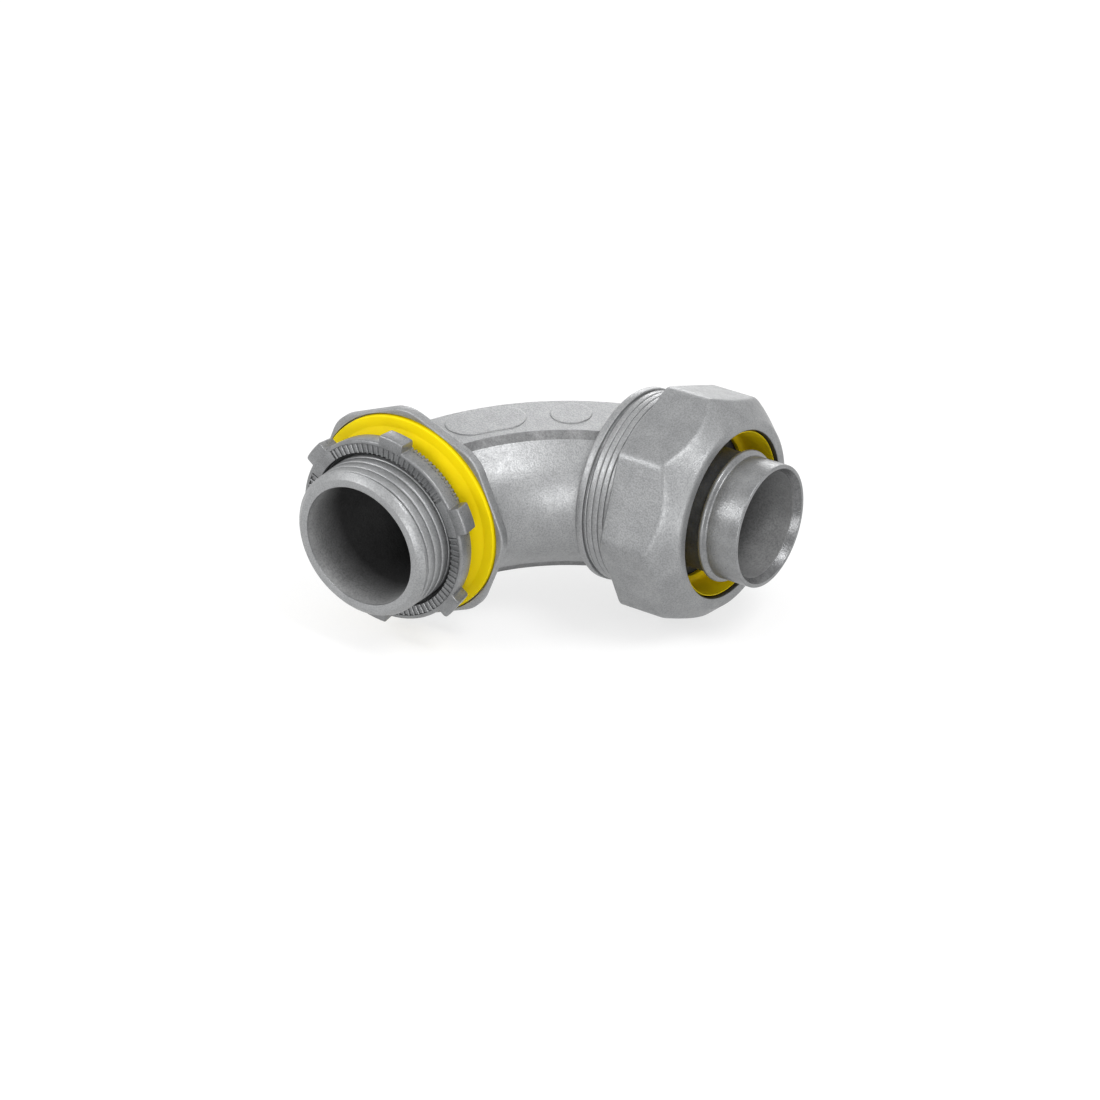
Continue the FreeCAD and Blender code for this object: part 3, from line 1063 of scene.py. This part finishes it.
@dataclass
class GlandNut:
    """The eight-sided nut with a coned nose that squeezes the compression ring."""

    corner: float = 25.84
    corner_cut: float = 1.35
    back_x: float = 40.96
    front_x: float = 57.74
    nose_x: float = 51.7
    lip: float = 21.0
    hole: float = 18.37
    hole_depth: float = 1.4
    hole_round: float = 0.45
    lip_inset: float = 0.35
    lip_round: float = 0.7
    lip_setback: float = 0.45
    lip_blend: float = 0.15
    back_round: float = 0.55
    side_start: float = 0.6
    soften: float = 0.75
    thread_crest: float = 21.02
    thread_end_x: float = 50.4
    thread_lead: float = 0.75
    thread_run_out: float = 0.05

    THREAD = Thread(pitch=25.4 / 18.0, depth=0.3, fullness=9.0, phase=34.45)

    COLUMN_STEP_DEG = 2.0
    EDGE_SPREAD_DEG = (-3.6, -2.9, -2.3, -1.7, -1.1, -0.5, 0.0, 0.5, 1.1, 1.7, 2.3, 2.9, 3.6)
    CORNER_STEPS = 6
    SIDE_SHARES = np.linspace(0.25, 1.0, 4)
    SOFT_SHARES = np.linspace(0.0, 1.0, 5)[1:]
    CONE_SHARES = np.linspace(0.2, 1.0, 6)
    INWARD = -0.8

    def build(self) -> Object:
        """Build the nut.

        Returns:
            The nut.
        """
        corners_deg = [360.0 / OCTAGON_SIDES * i for i in range(OCTAGON_SIDES)]
        columns = ring_columns(self.COLUMN_STEP_DEG, corners_deg, self.EDGE_SPREAD_DEG)
        shell = RingShell(columns)
        sides = octagon(self.corner, self.corner_cut, self.CORNER_STEPS).radius(columns)
        lip_x = self.front_x - self.lip_setback
        blend_x = lip_x - self.lip_blend
        slope = (self.corner - self.lip) / (lip_x - self.nose_x)
        scallop = self.nose_x + (self.corner - sides) / slope
        for depth, inset in edge_arc(self.back_round):
            shell.add_turned(GLAND_AXIS, self.back_x + depth, sides - inset)
        side_x = self.back_x + self.side_start
        for share in self.SIDE_SHARES:
            shell.add_turned(GLAND_AXIS, side_x + (scallop - self.soften - side_x) * share, sides)
        for t in self.SOFT_SHARES:
            place = scallop - self.soften + 2 * self.soften * t
            shell.add_turned(GLAND_AXIS, place, sides - slope * self.soften * t * t)
        cone_x = scallop + self.soften
        for share in self.CONE_SHARES:
            place = cone_x + (blend_x - cone_x) * share
            shell.add_turned(GLAND_AXIS, place, self.corner - slope * (place - self.nose_x))
        lip_start = self.corner - slope * (blend_x - self.nose_x)
        mouth = softened([(blend_x, lip_start, 0.0),
                          (self.front_x, self.lip - self.lip_inset, self.lip_round),
                          (self.front_x, self.hole, self.hole_round),
                          (self.front_x - self.hole_depth, self.hole, 0.0)], self.CORNER_STEPS)
        shell.add_profile(GLAND_AXIS, mouth[1:])
        shell.add_turned(GLAND_AXIS, self.thread_end_x + self.thread_run_out, self.thread_crest)
        for along, fall in reversed(self.THREAD.rows(columns, self.back_x, self.thread_end_x)):
            lead_in = self.thread_crest + self.thread_lead - (along - self.back_x)
            shell.add_turned(GLAND_AXIS, along, np.maximum(self.thread_crest - fall, lead_in))
        return joined("gland_nut_cast", [shell.mesh("gland_nut_cast")])

    def is_inside(self, face: Face) -> bool:
        """Tell the faces that look at the axis, which get painted shade, from the rest."""
        outward = Vector((0.0, face.center.y - GLAND_AXIS.origin[1] * MM, face.center.z)).normalized()
        return face.normal.dot(outward) < self.INWARD


@dataclass
class CompressionRing:
    """The yellow ring inside the nut's nose, coned inside and with a lip at its back."""

    bore: float = 17.0
    back_x: float = 49.3
    shoulder_x: float = 51.7
    cone_end_x: float = 56.34
    nose_x: float = 56.9
    back_radius: float = 20.15
    nose_radius: float = 18.07
    funnel: float = 0.8
    lip: float = 15.6
    lip_length: float = 1.0

    COLUMN_STEP_DEG = 2.5

    def build(self) -> Object:
        """Build the ring.

        Returns:
            The ring.
        """
        lip_x = self.back_x + self.lip_length
        corners = [(lip_x, self.bore, 0.9), (lip_x, self.lip, 0.1), (self.back_x, self.lip, 0.1),
                   (self.back_x, self.back_radius, 0.3),
                   (self.shoulder_x, self.back_radius, 0.4), (self.cone_end_x, self.nose_radius, 0.5),
                   (self.nose_x, self.nose_radius - 0.1, 0.05), (self.nose_x, self.bore + self.funnel, 0.08)]
        shell = RingShell(ring_columns(self.COLUMN_STEP_DEG))
        shell.add_profile(GLAND_AXIS, softened(corners, TURNED_STEPS))
        return joined("compression_sleeve", [shell.mesh("compression_sleeve")])


@dataclass
class Ferrule:
    """The loose sleeve that the conduit is pushed over, with its bead and bevelled mouth."""

    bore: float = 11.6
    tube: float = 13.4
    flange_x: float = 47.7
    tube_x: float = 49.1
    flange: float = 17.8
    spigot: float = 13.1
    spigot_x: float = 45.7
    root: float = 13.2
    groove_x: float = 57.4
    groove: float = 12.9
    bead_x: float = 57.9
    bead_end_x: float = 59.4
    bead: float = 14.4
    tip_x: float = 66.9
    bevel: float = 1.0
    bevel_depth: float = 1.6

    COLUMN_STEP_DEG = 2.0
    WALL_MARGIN = 0.5
    TIP_MARGIN = 0.05

    def build(self) -> Object:
        """Build the sleeve.

        Returns:
            The sleeve.
        """
        corners = [(self.spigot_x, self.bore, 0.2), (self.spigot_x, self.spigot, 0.3),
                   (self.flange_x, self.spigot, 0.1), (self.flange_x, self.flange, 0.25),
                   (self.tube_x, self.flange, 0.25), (self.tube_x, self.root, 0.5),
                   (self.groove_x, self.root, 0.1), (self.groove_x, self.groove, 0.05),
                   (self.bead_x, self.groove, 0.05), (self.bead_x, self.bead, 0.5),
                   (self.bead_end_x - 0.5, self.bead, 0.45), (self.bead_end_x, self.tube, 0.3),
                   (self.tip_x, self.tube, 0.3), (self.tip_x, self.bore + self.bevel, 0.1),
                   (self.tip_x - self.bevel_depth, self.bore, 0.15)]
        shell = RingShell(ring_columns(self.COLUMN_STEP_DEG))
        shell.add_profile(GLAND_AXIS, softened(corners, TURNED_STEPS))
        return joined("conduit_ferrule", [shell.mesh("conduit_ferrule")])

    def is_root(self, face: Face) -> bool:
        """Tell the root, which is darker than the tube with painted shade, from the rest.

        Args:
            face: A face of the sleeve.

        Returns:
            Whether the face is on the root.
        """
        x, y, z = face.center / MM
        from_axis = math.hypot(y - GLAND_AXIS.origin[1], z)
        return x < self.bead_x and from_axis > self.bore + self.WALL_MARGIN

    def is_inside(self, face: Face) -> bool:
        """Tell the inside, which gets a lighter colour as painted light and painted shade deeper in, from the
        rest.

        Args:
            face: A face of the sleeve.

        Returns:
            Whether the face is inside.
        """
        x, y, z = face.center / MM
        from_axis = math.hypot(y - GLAND_AXIS.origin[1], z)
        return x < self.tip_x - self.TIP_MARGIN and from_axis < self.bore + self.bevel

    def is_bevel(self, face: Face) -> bool:
        """Tell the mouth's bevel, which gets painted shade, from the rest."""
        return self.is_inside(face) and face.center.x / MM > self.tip_x - self.bevel_depth


# The finishes


class FinishNodes:
    """A small helper that builds one procedural material."""

    def __init__(self, name: str) -> None:
        """Start a material with its shader and object coordinates.

        Args:
            name: The material's name.
        """
        self.material = bpy.data.materials.new(name)
        self.material.use_nodes = True
        self.tree = self.material.node_tree
        self.shader = self.tree.nodes["Principled BSDF"]
        self.place = self.tree.nodes.new("ShaderNodeTexCoord").outputs["Object"]

    def added(self, kind: str, links: dict[str, Socket], **values: float) -> bpy.types.Node:
        """Add a node.

        Args:
            kind: The node's type.
            links: The values that are linked, by input.
            values: The fixed values, by input with spaces as underscores.

        Returns:
            The node.
        """
        node = self.tree.nodes.new(kind)
        for name, value in values.items():
            node.inputs[name.replace("_", " ")].default_value = value
        for name, socket in links.items():
            self.tree.links.new(socket, node.inputs[name])
        return node

    def noise(self, scale: float, detail: float = 3.0, roughness: float = 0.55) -> Socket:
        """Add an even noise on object coordinates.

        Args:
            scale: How many features there are to a metre.
            detail: How many finer layers it has.
            roughness: How strong the finer layers are.

        Returns:
            The noise's value.
        """
        node = self.added("ShaderNodeTexNoise", {"Vector": self.place}, Scale=scale, Detail=detail,
                          Roughness=roughness)
        return node.outputs["Fac"]

    def ramp(self, value: Socket, low: Triple, high: Triple,
             start: float = NOISE_LOW, end: float = NOISE_HIGH) -> Socket:
        """Turn a value into a colour between two colours.

        Args:
            value: The value to turn.
            low: The colour below the start.
            high: The colour above the end.
            start: The value at which the change starts.
            end: The value at which it ends.

        Returns:
            The colour.
        """
        node = self.tree.nodes.new("ShaderNodeValToRGB")
        node.color_ramp.elements[0].position = start
        node.color_ramp.elements[1].position = end
        node.color_ramp.elements[0].color = (*low, 1.0)
        node.color_ramp.elements[1].color = (*high, 1.0)
        self.tree.links.new(value, node.inputs["Fac"])
        return node.outputs["Color"]

    def spread(self, value: Socket, low: float, high: float) -> Socket:
        """Turn a noise's usual range into one between two limits."""
        return self.added("ShaderNodeMapRange", {"Value": value}, From_Min=NOISE_LOW, From_Max=NOISE_HIGH,
                          To_Min=low, To_Max=high).outputs["Result"]

    def along(self, axis: str, start_mm: float, end_mm: float) -> Socket:
        """A value that goes from 0 to 1 between two places along the X, Y or Z axis.

        Args:
            axis: The axis' letter.
            start_mm: The place of 0.
            end_mm: The place of 1.

        Returns:
            The value.
        """
        split = self.tree.nodes.new("ShaderNodeSeparateXYZ")
        self.tree.links.new(self.place, split.inputs[0])
        return self.added("ShaderNodeMapRange", {"Value": split.outputs[axis]}, From_Min=start_mm * MM,
                          From_Max=end_mm * MM).outputs["Result"]

    def mixed(self, first: Socket, second: Socket, share: float) -> Socket:
        """Multiply one colour by another, by a share.

        Args:
            first: The colour that is multiplied.
            second: The colour it is multiplied by.
            share: How far the second counts, from 0 to 1.

        Returns:
            The colour.
        """
        node = self.tree.nodes.new("ShaderNodeMix")
        node.data_type = "RGBA"
        node.blend_type = "MULTIPLY"
        node.inputs["Factor"].default_value = share
        self.tree.links.new(first, node.inputs["A"])
        self.tree.links.new(second, node.inputs["B"])
        return node.outputs["Result"]

    def bump(self, height: Socket, distance: float, strength: float,
             under: Socket | None = None) -> Socket:
        """Add a bump, on top of another if one is given.

        Args:
            height: The height's value.
            distance: The height of a full step, in metres.
            strength: How much of it is shown.
            under: The bump below this one.

        Returns:
            The bumped normal.
        """
        links = {"Height": height}
        if under is not None:
            links["Normal"] = under
        return self.added("ShaderNodeBump", links, Distance=distance, Strength=strength).outputs["Normal"]

    def number(self, operation: str, value: Socket, amount: float) -> Socket:
        """Change a value by a fixed amount.

        Args:
            operation: What is worked out.
            value: The value to change.
            amount: The fixed amount.

        Returns:
            The changed value.
        """
        node = self.tree.nodes.new("ShaderNodeMath")
        node.operation = operation
        node.inputs[1].default_value = amount
        self.tree.links.new(value, node.inputs[0])
        return node.outputs[0]

    def set_value(self, name: str, value: float | tuple[float, ...]) -> None:
        """Set one of the shader's own values."""
        self.shader.inputs[name].default_value = value

    def feed(self, name: str, socket: Socket) -> None:
        """Link a value to one of the shader's inputs."""
        self.tree.links.new(socket, self.shader.inputs[name])


@dataclass(frozen=True)
class MetalFinish:
    """A zinc finish: its tone, its gloss, the size of its grain and the painted shade that darkens it along
    an axis.
    """

    name: str
    dark: Triple
    light: Triple
    metallic: float
    gloss_low: float
    gloss_high: float
    grain_scale: float
    grain_height: float
    # Where the painted shade runs from none to full darkening, and along which axis.
    shade_span_mm: tuple[float, float] | None = None
    shade_axis: str = "Y"

    MOTTLE = (230.0, 4.0, 0.62)
    GRAIN = (2.0, 0.6)
    GRAIN_STRENGTH = 0.5
    FLECK_RANGE = (0.35, 0.6)
    GLOSS_SCALE = 900.0
    COARSE = (520.0, 2.0)
    COARSE_BUMP = (0.00006, 0.35)

    def material(self) -> Material:
        """Build the finish's material.

        Returns:
            The material.
        """
        nodes = FinishNodes(self.name)
        mottle = nodes.noise(*self.MOTTLE)
        speck = nodes.noise(self.grain_scale, *self.GRAIN)
        tone = nodes.ramp(mottle, self.dark, self.light)
        fleck = nodes.ramp(speck, FLECK_DARK, WHITE, *self.FLECK_RANGE)
        colour = nodes.mixed(tone, fleck, 1.0)
        # Painted shade: the colour darkens between the two places along the axis, standing in for shade deep
        # inside a hollow.
        if self.shade_span_mm is not None:
            depth = nodes.along(self.shade_axis, *self.shade_span_mm)
            colour = nodes.mixed(colour, nodes.ramp(depth, WHITE, PAINTED_SHADE_DARK, 0.0, 1.0), 1.0)
        nodes.feed("Base Color", colour)
        gloss = nodes.spread(nodes.noise(self.GLOSS_SCALE), self.gloss_low, self.gloss_high)
        nodes.feed("Roughness", gloss)
        coarse = nodes.bump(nodes.noise(*self.COARSE), *self.COARSE_BUMP)
        nodes.feed("Normal", nodes.bump(speck, self.grain_height, self.GRAIN_STRENGTH, coarse))
        nodes.set_value("Metallic", self.metallic)
        return nodes.material


@dataclass(frozen=True)
class YellowFinish:
    """A yellow moulding with a faint mould texture."""

    name: str
    colour: Triple
    shade: Triple
    gloss: float
    depth: float

    TONE_SCALE = 150.0
    GLOSS_SCALE = 700.0
    GLOSS_BELOW = 0.05
    GLOSS_ABOVE = 0.06
    TEXTURE = (1600.0, 2.0)
    TEXTURE_BUMP = (0.00002, 0.25)
    SPECULAR = 0.2
    SCATTER = (1.0, 0.85, 0.05)
    SCATTER_MM = 2.0

    def material(self) -> Material:
        """Build the finish's material.

        Returns:
            The material.
        """
        nodes = FinishNodes(self.name)
        nodes.feed("Base Color", nodes.ramp(nodes.noise(self.TONE_SCALE), self.shade, self.colour))
        gloss = nodes.spread(nodes.noise(self.GLOSS_SCALE), self.gloss - self.GLOSS_BELOW,
                             self.gloss + self.GLOSS_ABOVE)
        nodes.feed("Roughness", gloss)
        nodes.feed("Normal", nodes.bump(nodes.noise(*self.TEXTURE), *self.TEXTURE_BUMP))
        nodes.set_value("Specular IOR Level", self.SPECULAR)
        nodes.set_value("Subsurface Weight", self.depth)
        nodes.set_value("Subsurface Radius", self.SCATTER)
        nodes.set_value("Subsurface Scale", self.SCATTER_MM * MM)
        return nodes.material


FLECK_DARK = (0.74, 0.74, 0.74)
# The darkest multiplier of the painted shade inside hollows.
PAINTED_SHADE_DARK = (0.16, 0.16, 0.16)
WHITE = (1.0, 1.0, 1.0)
CAST_ZINC = MetalFinish("cast_zinc", (0.31, 0.315, 0.32), (0.365, 0.37, 0.375), 0.62, 0.35, 0.46, 3000.0,
                        0.0001)
NUT_ZINC = MetalFinish("nut_zinc", (0.27, 0.275, 0.28), (0.33, 0.335, 0.34), 0.62, 0.36, 0.48, 3000.0, 0.0001)
# Painted shade: a darker copy of the cast zinc for the rails' drafted sides, with a coarser grain and gloss.
RAIL_SHADE_ZINC = MetalFinish("rail_shade_zinc", (0.15, 0.152, 0.155), (0.27, 0.272, 0.275), 0.4, 0.45, 0.62, 2400.0,
                        0.0002)
# Painted shade: near-black zinc for the gland nut's inside, standing in for the shadow in its hole.
SHADED_ZINC = MetalFinish("shaded_zinc", (0.05, 0.052, 0.056), (0.09, 0.092, 0.096), 0.4, 0.45, 0.6, 2400.0,
                          0.0002)
# Wireway: a lighter colour at the throat's mouth as painted light, with painted shade that darkens it deeper
# into the throat.
WIREWAY_LIGHT_SHADE_ZINC = MetalFinish("wireway_light_and_shade", (0.32, 0.322, 0.325), (0.42, 0.422, 0.425), 0.35, 0.45, 0.6,
                           2400.0, 0.00014, (-16.0, -6.0))
PLATED_STEEL = MetalFinish("plated_steel", (0.21, 0.213, 0.217), (0.30, 0.305, 0.31), 0.62, 0.27, 0.38,
                           3000.0, 0.00009)
# Ferrule inside: a lighter colour than the plating as painted light, with painted shade that darkens it
# deeper into the bore.
INSIDE_LIGHT_SHADE_STEEL = MetalFinish("inside_light_shade_steel", (0.28, 0.282, 0.285), (0.38, 0.382, 0.385), 0.35, 0.42, 0.55, 2500.0,
                         0.0001, (61.0, 50.5), "X")
# Painted shade: a darker steel for the ferrule's mouth bevel.
BEVEL_SHADE_STEEL = MetalFinish("bevel_shade_steel", (0.12, 0.122, 0.125), (0.20, 0.202, 0.205), 0.7, 0.25, 0.35, 2500.0,
                          0.0001)
# Painted shade: near-black steel for the ferrule's root and flange inside the nut.
ROOT_SHADE_STEEL = MetalFinish("root_shade_steel", (0.04, 0.044, 0.054), (0.08, 0.086, 0.10), 0.4, 0.42, 0.55, 2500.0,
                         0.00012)
SEAL_YELLOW = YellowFinish("seal_yellow", (1.0, 0.74, 0.0), (0.99, 0.72, 0.0), 0.55, 0.35)
# The compression ring's yellow is a slightly darker copy of the seal's, a little painted shade for its place
# inside the nut.
RING_YELLOW_SHADED = YellowFinish("ring_yellow_shaded", (0.95, 0.69, 0.0), (0.92, 0.67, 0.0), 0.55, 0.2)


# The studio


def seen_directly(tree: bpy.types.NodeTree) -> Socket:
    """A value of one for what the camera, a mirror or glass sees, and none for soft light.

    Args:
        tree: The material's or the sky's node tree.

    Returns:
        The value's socket.
    """
    path = tree.nodes.new("ShaderNodeLightPath")
    value = path.outputs["Is Camera Ray"]
    for kind in ("Is Glossy Ray", "Is Transmission Ray"):
        wider = tree.nodes.new("ShaderNodeMath")
        wider.operation = "MAXIMUM"
        tree.links.new(value, wider.inputs[0])
        tree.links.new(path.outputs[kind], wider.inputs[1])
        value = wider.outputs[0]
    return value


@dataclass(frozen=True)
class PhotoCamera:
    """The photograph's camera, fitted to the object's known circles."""

    azimuth_deg: float = 35.1475
    elevation_deg: float = 29.7318
    roll_deg: float = -0.8615
    focal_px: float = 4000.0
    image_px: float = 1100.0
    px_per_mm: float = 4.6999
    target_mm: Triple = (30.0, 32.0, 0.0)
    shift_px: tuple[float, float] = (60.533, -60.610)
    sensor_mm: float = 36.0
    clip_start_m: float = 0.01

    def axes(self) -> tuple[Vector, Vector, Vector]:
        """The camera's right, up and backward directions.

        Returns:
            The three directions, each of length 1.
        """
        azimuth = math.radians(self.azimuth_deg)
        elevation = math.radians(self.elevation_deg)
        roll = math.radians(self.roll_deg)
        back = Vector((math.sin(azimuth) * math.cos(elevation), -math.cos(azimuth) * math.cos(elevation),
                       math.sin(elevation)))
        right = Vector((math.cos(azimuth), math.sin(azimuth), 0.0))
        up = back.cross(right)
        rolled_right = right * math.cos(roll) + up * math.sin(roll)
        rolled_up = up * math.cos(roll) - right * math.sin(roll)
        return rolled_right, rolled_up, back

    def place(self) -> Object:
        """Create the camera and make it the scene's.

        Returns:
            The camera.
        """
        right, up, back = self.axes()
        distance = self.focal_px / self.px_per_mm
        location = Vector(self.target_mm) + back * distance
        location -= right * (self.shift_px[0] / self.focal_px * distance)
        location += up * (self.shift_px[1] / self.focal_px * distance)
        data = bpy.data.cameras.new("photo_camera")
        data.sensor_width = self.sensor_mm
        data.lens = self.focal_px * self.sensor_mm / self.image_px
        data.clip_start = self.clip_start_m
        camera = bpy.data.objects.new("photo_camera", data)
        frame = Matrix((right, up, back)).transposed().to_4x4()
        camera.matrix_world = Matrix.Translation(location * MM) @ frame
        bpy.context.scene.collection.objects.link(camera)
        bpy.context.scene.camera = camera
        return camera


@dataclass(frozen=True)
class SoftBox:
    """A soft square lamp that faces the object."""

    name: str
    azimuth_deg: float
    elevation_deg: float
    distance: float
    size: float
    power: float

    def place(self, target: Vector) -> None:
        """Set the lamp up, facing a point.

        Args:
            target: The point that it faces.
        """
        azimuth = math.radians(self.azimuth_deg)
        elevation = math.radians(self.elevation_deg)
        direction = Vector((math.sin(azimuth) * math.cos(elevation), -math.cos(azimuth) * math.cos(elevation),
                            math.sin(elevation)))
        data = bpy.data.lights.new(self.name, "AREA")
        data.shape = "SQUARE"
        data.size = self.size
        data.energy = self.power
        lamp = bpy.data.objects.new(self.name, data)
        lamp.location = target + direction * self.distance
        lamp.rotation_euler = direction.to_track_quat("Z", "Y").to_euler()
        bpy.context.scene.collection.objects.link(lamp)


@dataclass(frozen=True)
class Studio:
    """The pale floor, the soft sky and the lamps."""

    floor_drop: float = -0.0262
    floor_size: float = 3.0
    floor_tone: float = 0.36
    floor_lift: float = 0.66
    floor_mottle: float = 4.0
    floor_change: float = 0.01
    floor_roughness: float = 0.9
    floor_specular: float = 0.1
    sky_from: float = -0.1
    sky_to: float = 0.9
    sky_low: float = 0.95
    sky_high: float = 0.7
    lamps_face: Triple = (0.03, 0.02, 0.0)
    lamps: tuple[SoftBox, ...] = (
        SoftBox("left_box", -36.0, 34.0, 0.9, 0.3, 2.3),
        SoftBox("right_box", 84.0, 57.0, 0.9, 0.3, 2.9),
        SoftBox("back_box", -150.0, 14.0, 0.9, 0.3, 1.2),
        SoftBox("front_box", 38.0, 10.0, 0.9, 0.3, 2.1),
    )

    def add_floor(self) -> None:
        """Lay the floor under the object."""
        half = self.floor_size / 2
        mesh = bpy.data.meshes.new("floor")
        corners = [(-half, -half), (half, -half), (half, half), (-half, half)]
        mesh.from_pydata([(x, y, self.floor_drop) for x, y in corners], [], [(0, 1, 2, 3)])
        floor = bpy.data.objects.new("floor", mesh)
        bpy.context.scene.collection.objects.link(floor)
        nodes = FinishNodes("pale_floor")
        low, high = self.floor_tone - self.floor_change, self.floor_tone + self.floor_change
        nodes.feed("Base Color", nodes.ramp(nodes.noise(self.floor_mottle), (low,) * 3, (high,) * 3))
        nodes.set_value("Roughness", self.floor_roughness)
        nodes.set_value("Specular IOR Level", self.floor_specular)
        nodes.set_value("Emission Color", (1.0, 1.0, 1.0, 1.0))
        nodes.feed("Emission Strength", nodes.number("MULTIPLY", seen_directly(nodes.tree), self.floor_lift))
        mesh.materials.append(nodes.material)

    def add_sky(self) -> None:
        """Light the scene from a soft sky that is plain white where it is seen."""
        world = bpy.data.worlds.new("studio_sky")
        world.use_nodes = True
        bpy.context.scene.world = world
        tree = world.node_tree
        background = tree.nodes["Background"]
        background.inputs["Color"].default_value = (1.0, 1.0, 1.0, 1.0)
        place = tree.nodes.new("ShaderNodeTexCoord")
        split = tree.nodes.new("ShaderNodeSeparateXYZ")
        spread = tree.nodes.new("ShaderNodeMapRange")
        spread.inputs["From Min"].default_value = self.sky_from
        spread.inputs["From Max"].default_value = self.sky_to
        spread.inputs["To Min"].default_value = self.sky_low
        spread.inputs["To Max"].default_value = self.sky_high
        tree.links.new(place.outputs["Generated"], split.inputs[0])
        tree.links.new(split.outputs["Z"], spread.inputs["Value"])
        blend = tree.nodes.new("ShaderNodeMix")
        tree.links.new(seen_directly(tree), blend.inputs["Factor"])
        tree.links.new(spread.outputs["Result"], blend.inputs["A"])
        blend.inputs["B"].default_value = 1.0
        tree.links.new(blend.outputs["Result"], background.inputs["Strength"])

    def build(self) -> None:
        """Set up the floor, the sky and the lamps."""
        self.add_floor()
        self.add_sky()
        for lamp in self.lamps:
            lamp.place(Vector(self.lamps_face))
        bpy.context.scene.view_settings.view_transform = "Standard"


# The whole connector


@dataclass(frozen=True)
class Placement:
    """Where a finished piece belongs in the frame."""

    body: str
    node: str
    slot: str


class Connector:
    """The connector's visible pieces, dressed and set on their bodies."""

    def __init__(self) -> None:
        """Make the finishes that the pieces share."""
        self.cast = CAST_ZINC.material()
        self.nut_cast = NUT_ZINC.material()
        self.rail_shade_cast = RAIL_SHADE_ZINC.material()
        self.shaded_cast = SHADED_ZINC.material()
        self.wireway = WIREWAY_LIGHT_SHADE_ZINC.material()
        self.steel = PLATED_STEEL.material()
        self.root_shade_steel = ROOT_SHADE_STEEL.material()
        self.inside_light_shade_steel = INSIDE_LIGHT_SHADE_STEEL.material()
        self.bevel_shade_steel = BEVEL_SHADE_STEEL.material()
        self.seal = SEAL_YELLOW.material()
        self.ring = RING_YELLOW_SHADED.material()

    def settle(self, piece: Object, finish: Material, placement: Placement) -> None:
        """Dress a piece and set it on its body.

        Args:
            piece: The finished mesh object.
            finish: Its material.
            placement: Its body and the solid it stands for.
        """
        piece.data.materials.clear()
        piece.data.materials.append(finish)
        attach(piece, placement.body)
        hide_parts(placement.node)
        LOG.info("%s: %d faces", piece.name, len(piece.data.polygons))

    def retouch(self, piece: Object, finish: Material,
             chosen: Callable[[Face], bool]) -> None:
        """Give some of a piece's faces a finish of their own.

        Args:
            piece: The dressed piece.
            finish: The material of those faces.
            chosen: Tells whether a face gets it.
        """
        piece.data.materials.append(finish)
        place = len(piece.data.materials) - 1
        for face in piece.data.polygons:
            if chosen(face):
                face.material_index = place

    def build(self) -> None:
        """Build every piece in order."""
        casting = ElbowCasting()
        elbow = casting.build()
        self.settle(elbow, self.cast, Placement("elbow", "body", "cast_zinc"))
        # The rails' drafted sides get painted shade.
        self.retouch(elbow, self.rail_shade_cast, casting.is_rail_side)
        # The wireway gets painted light at the mouth and painted shade deeper in.
        self.retouch(elbow, self.wireway, casting.is_wireway)
        self.settle(SealingRing().build(), self.seal, Placement("gasket", "hub_gasket", "yellow_seal"))
        self.settle(Locknut().build(self.steel), self.steel, Placement("locknut", "locknut", "plated_steel"))
        nut = GlandNut()
        gland_nut = nut.build()
        self.settle(gland_nut, self.nut_cast, Placement("gland_nut", "gland_nut", "cast_zinc"))
        # The nut's inside is painted near black as shade.
        self.retouch(gland_nut, self.shaded_cast, nut.is_inside)
        self.settle(CompressionRing().build(), self.ring,
                    Placement("ring", "compression_ring", "yellow_ring"))
        sleeve = Ferrule()
        ferrule = sleeve.build()
        self.settle(ferrule, self.steel, Placement("ferrule", "ferrule", "plated_steel"))
        self.retouch(ferrule, self.root_shade_steel, sleeve.is_root)
        self.retouch(ferrule, self.inside_light_shade_steel, sleeve.is_inside)
        self.retouch(ferrule, self.bevel_shade_steel, sleeve.is_bevel)


def main() -> None:
    """Load the frame, build the connector over it and set up the studio."""
    logging.basicConfig(level=logging.INFO, format="%(name)s: %(message)s")
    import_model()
    PhotoCamera().place()
    Connector().build()
    Studio().build()
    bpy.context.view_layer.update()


if __name__ == "__main__":
    main()
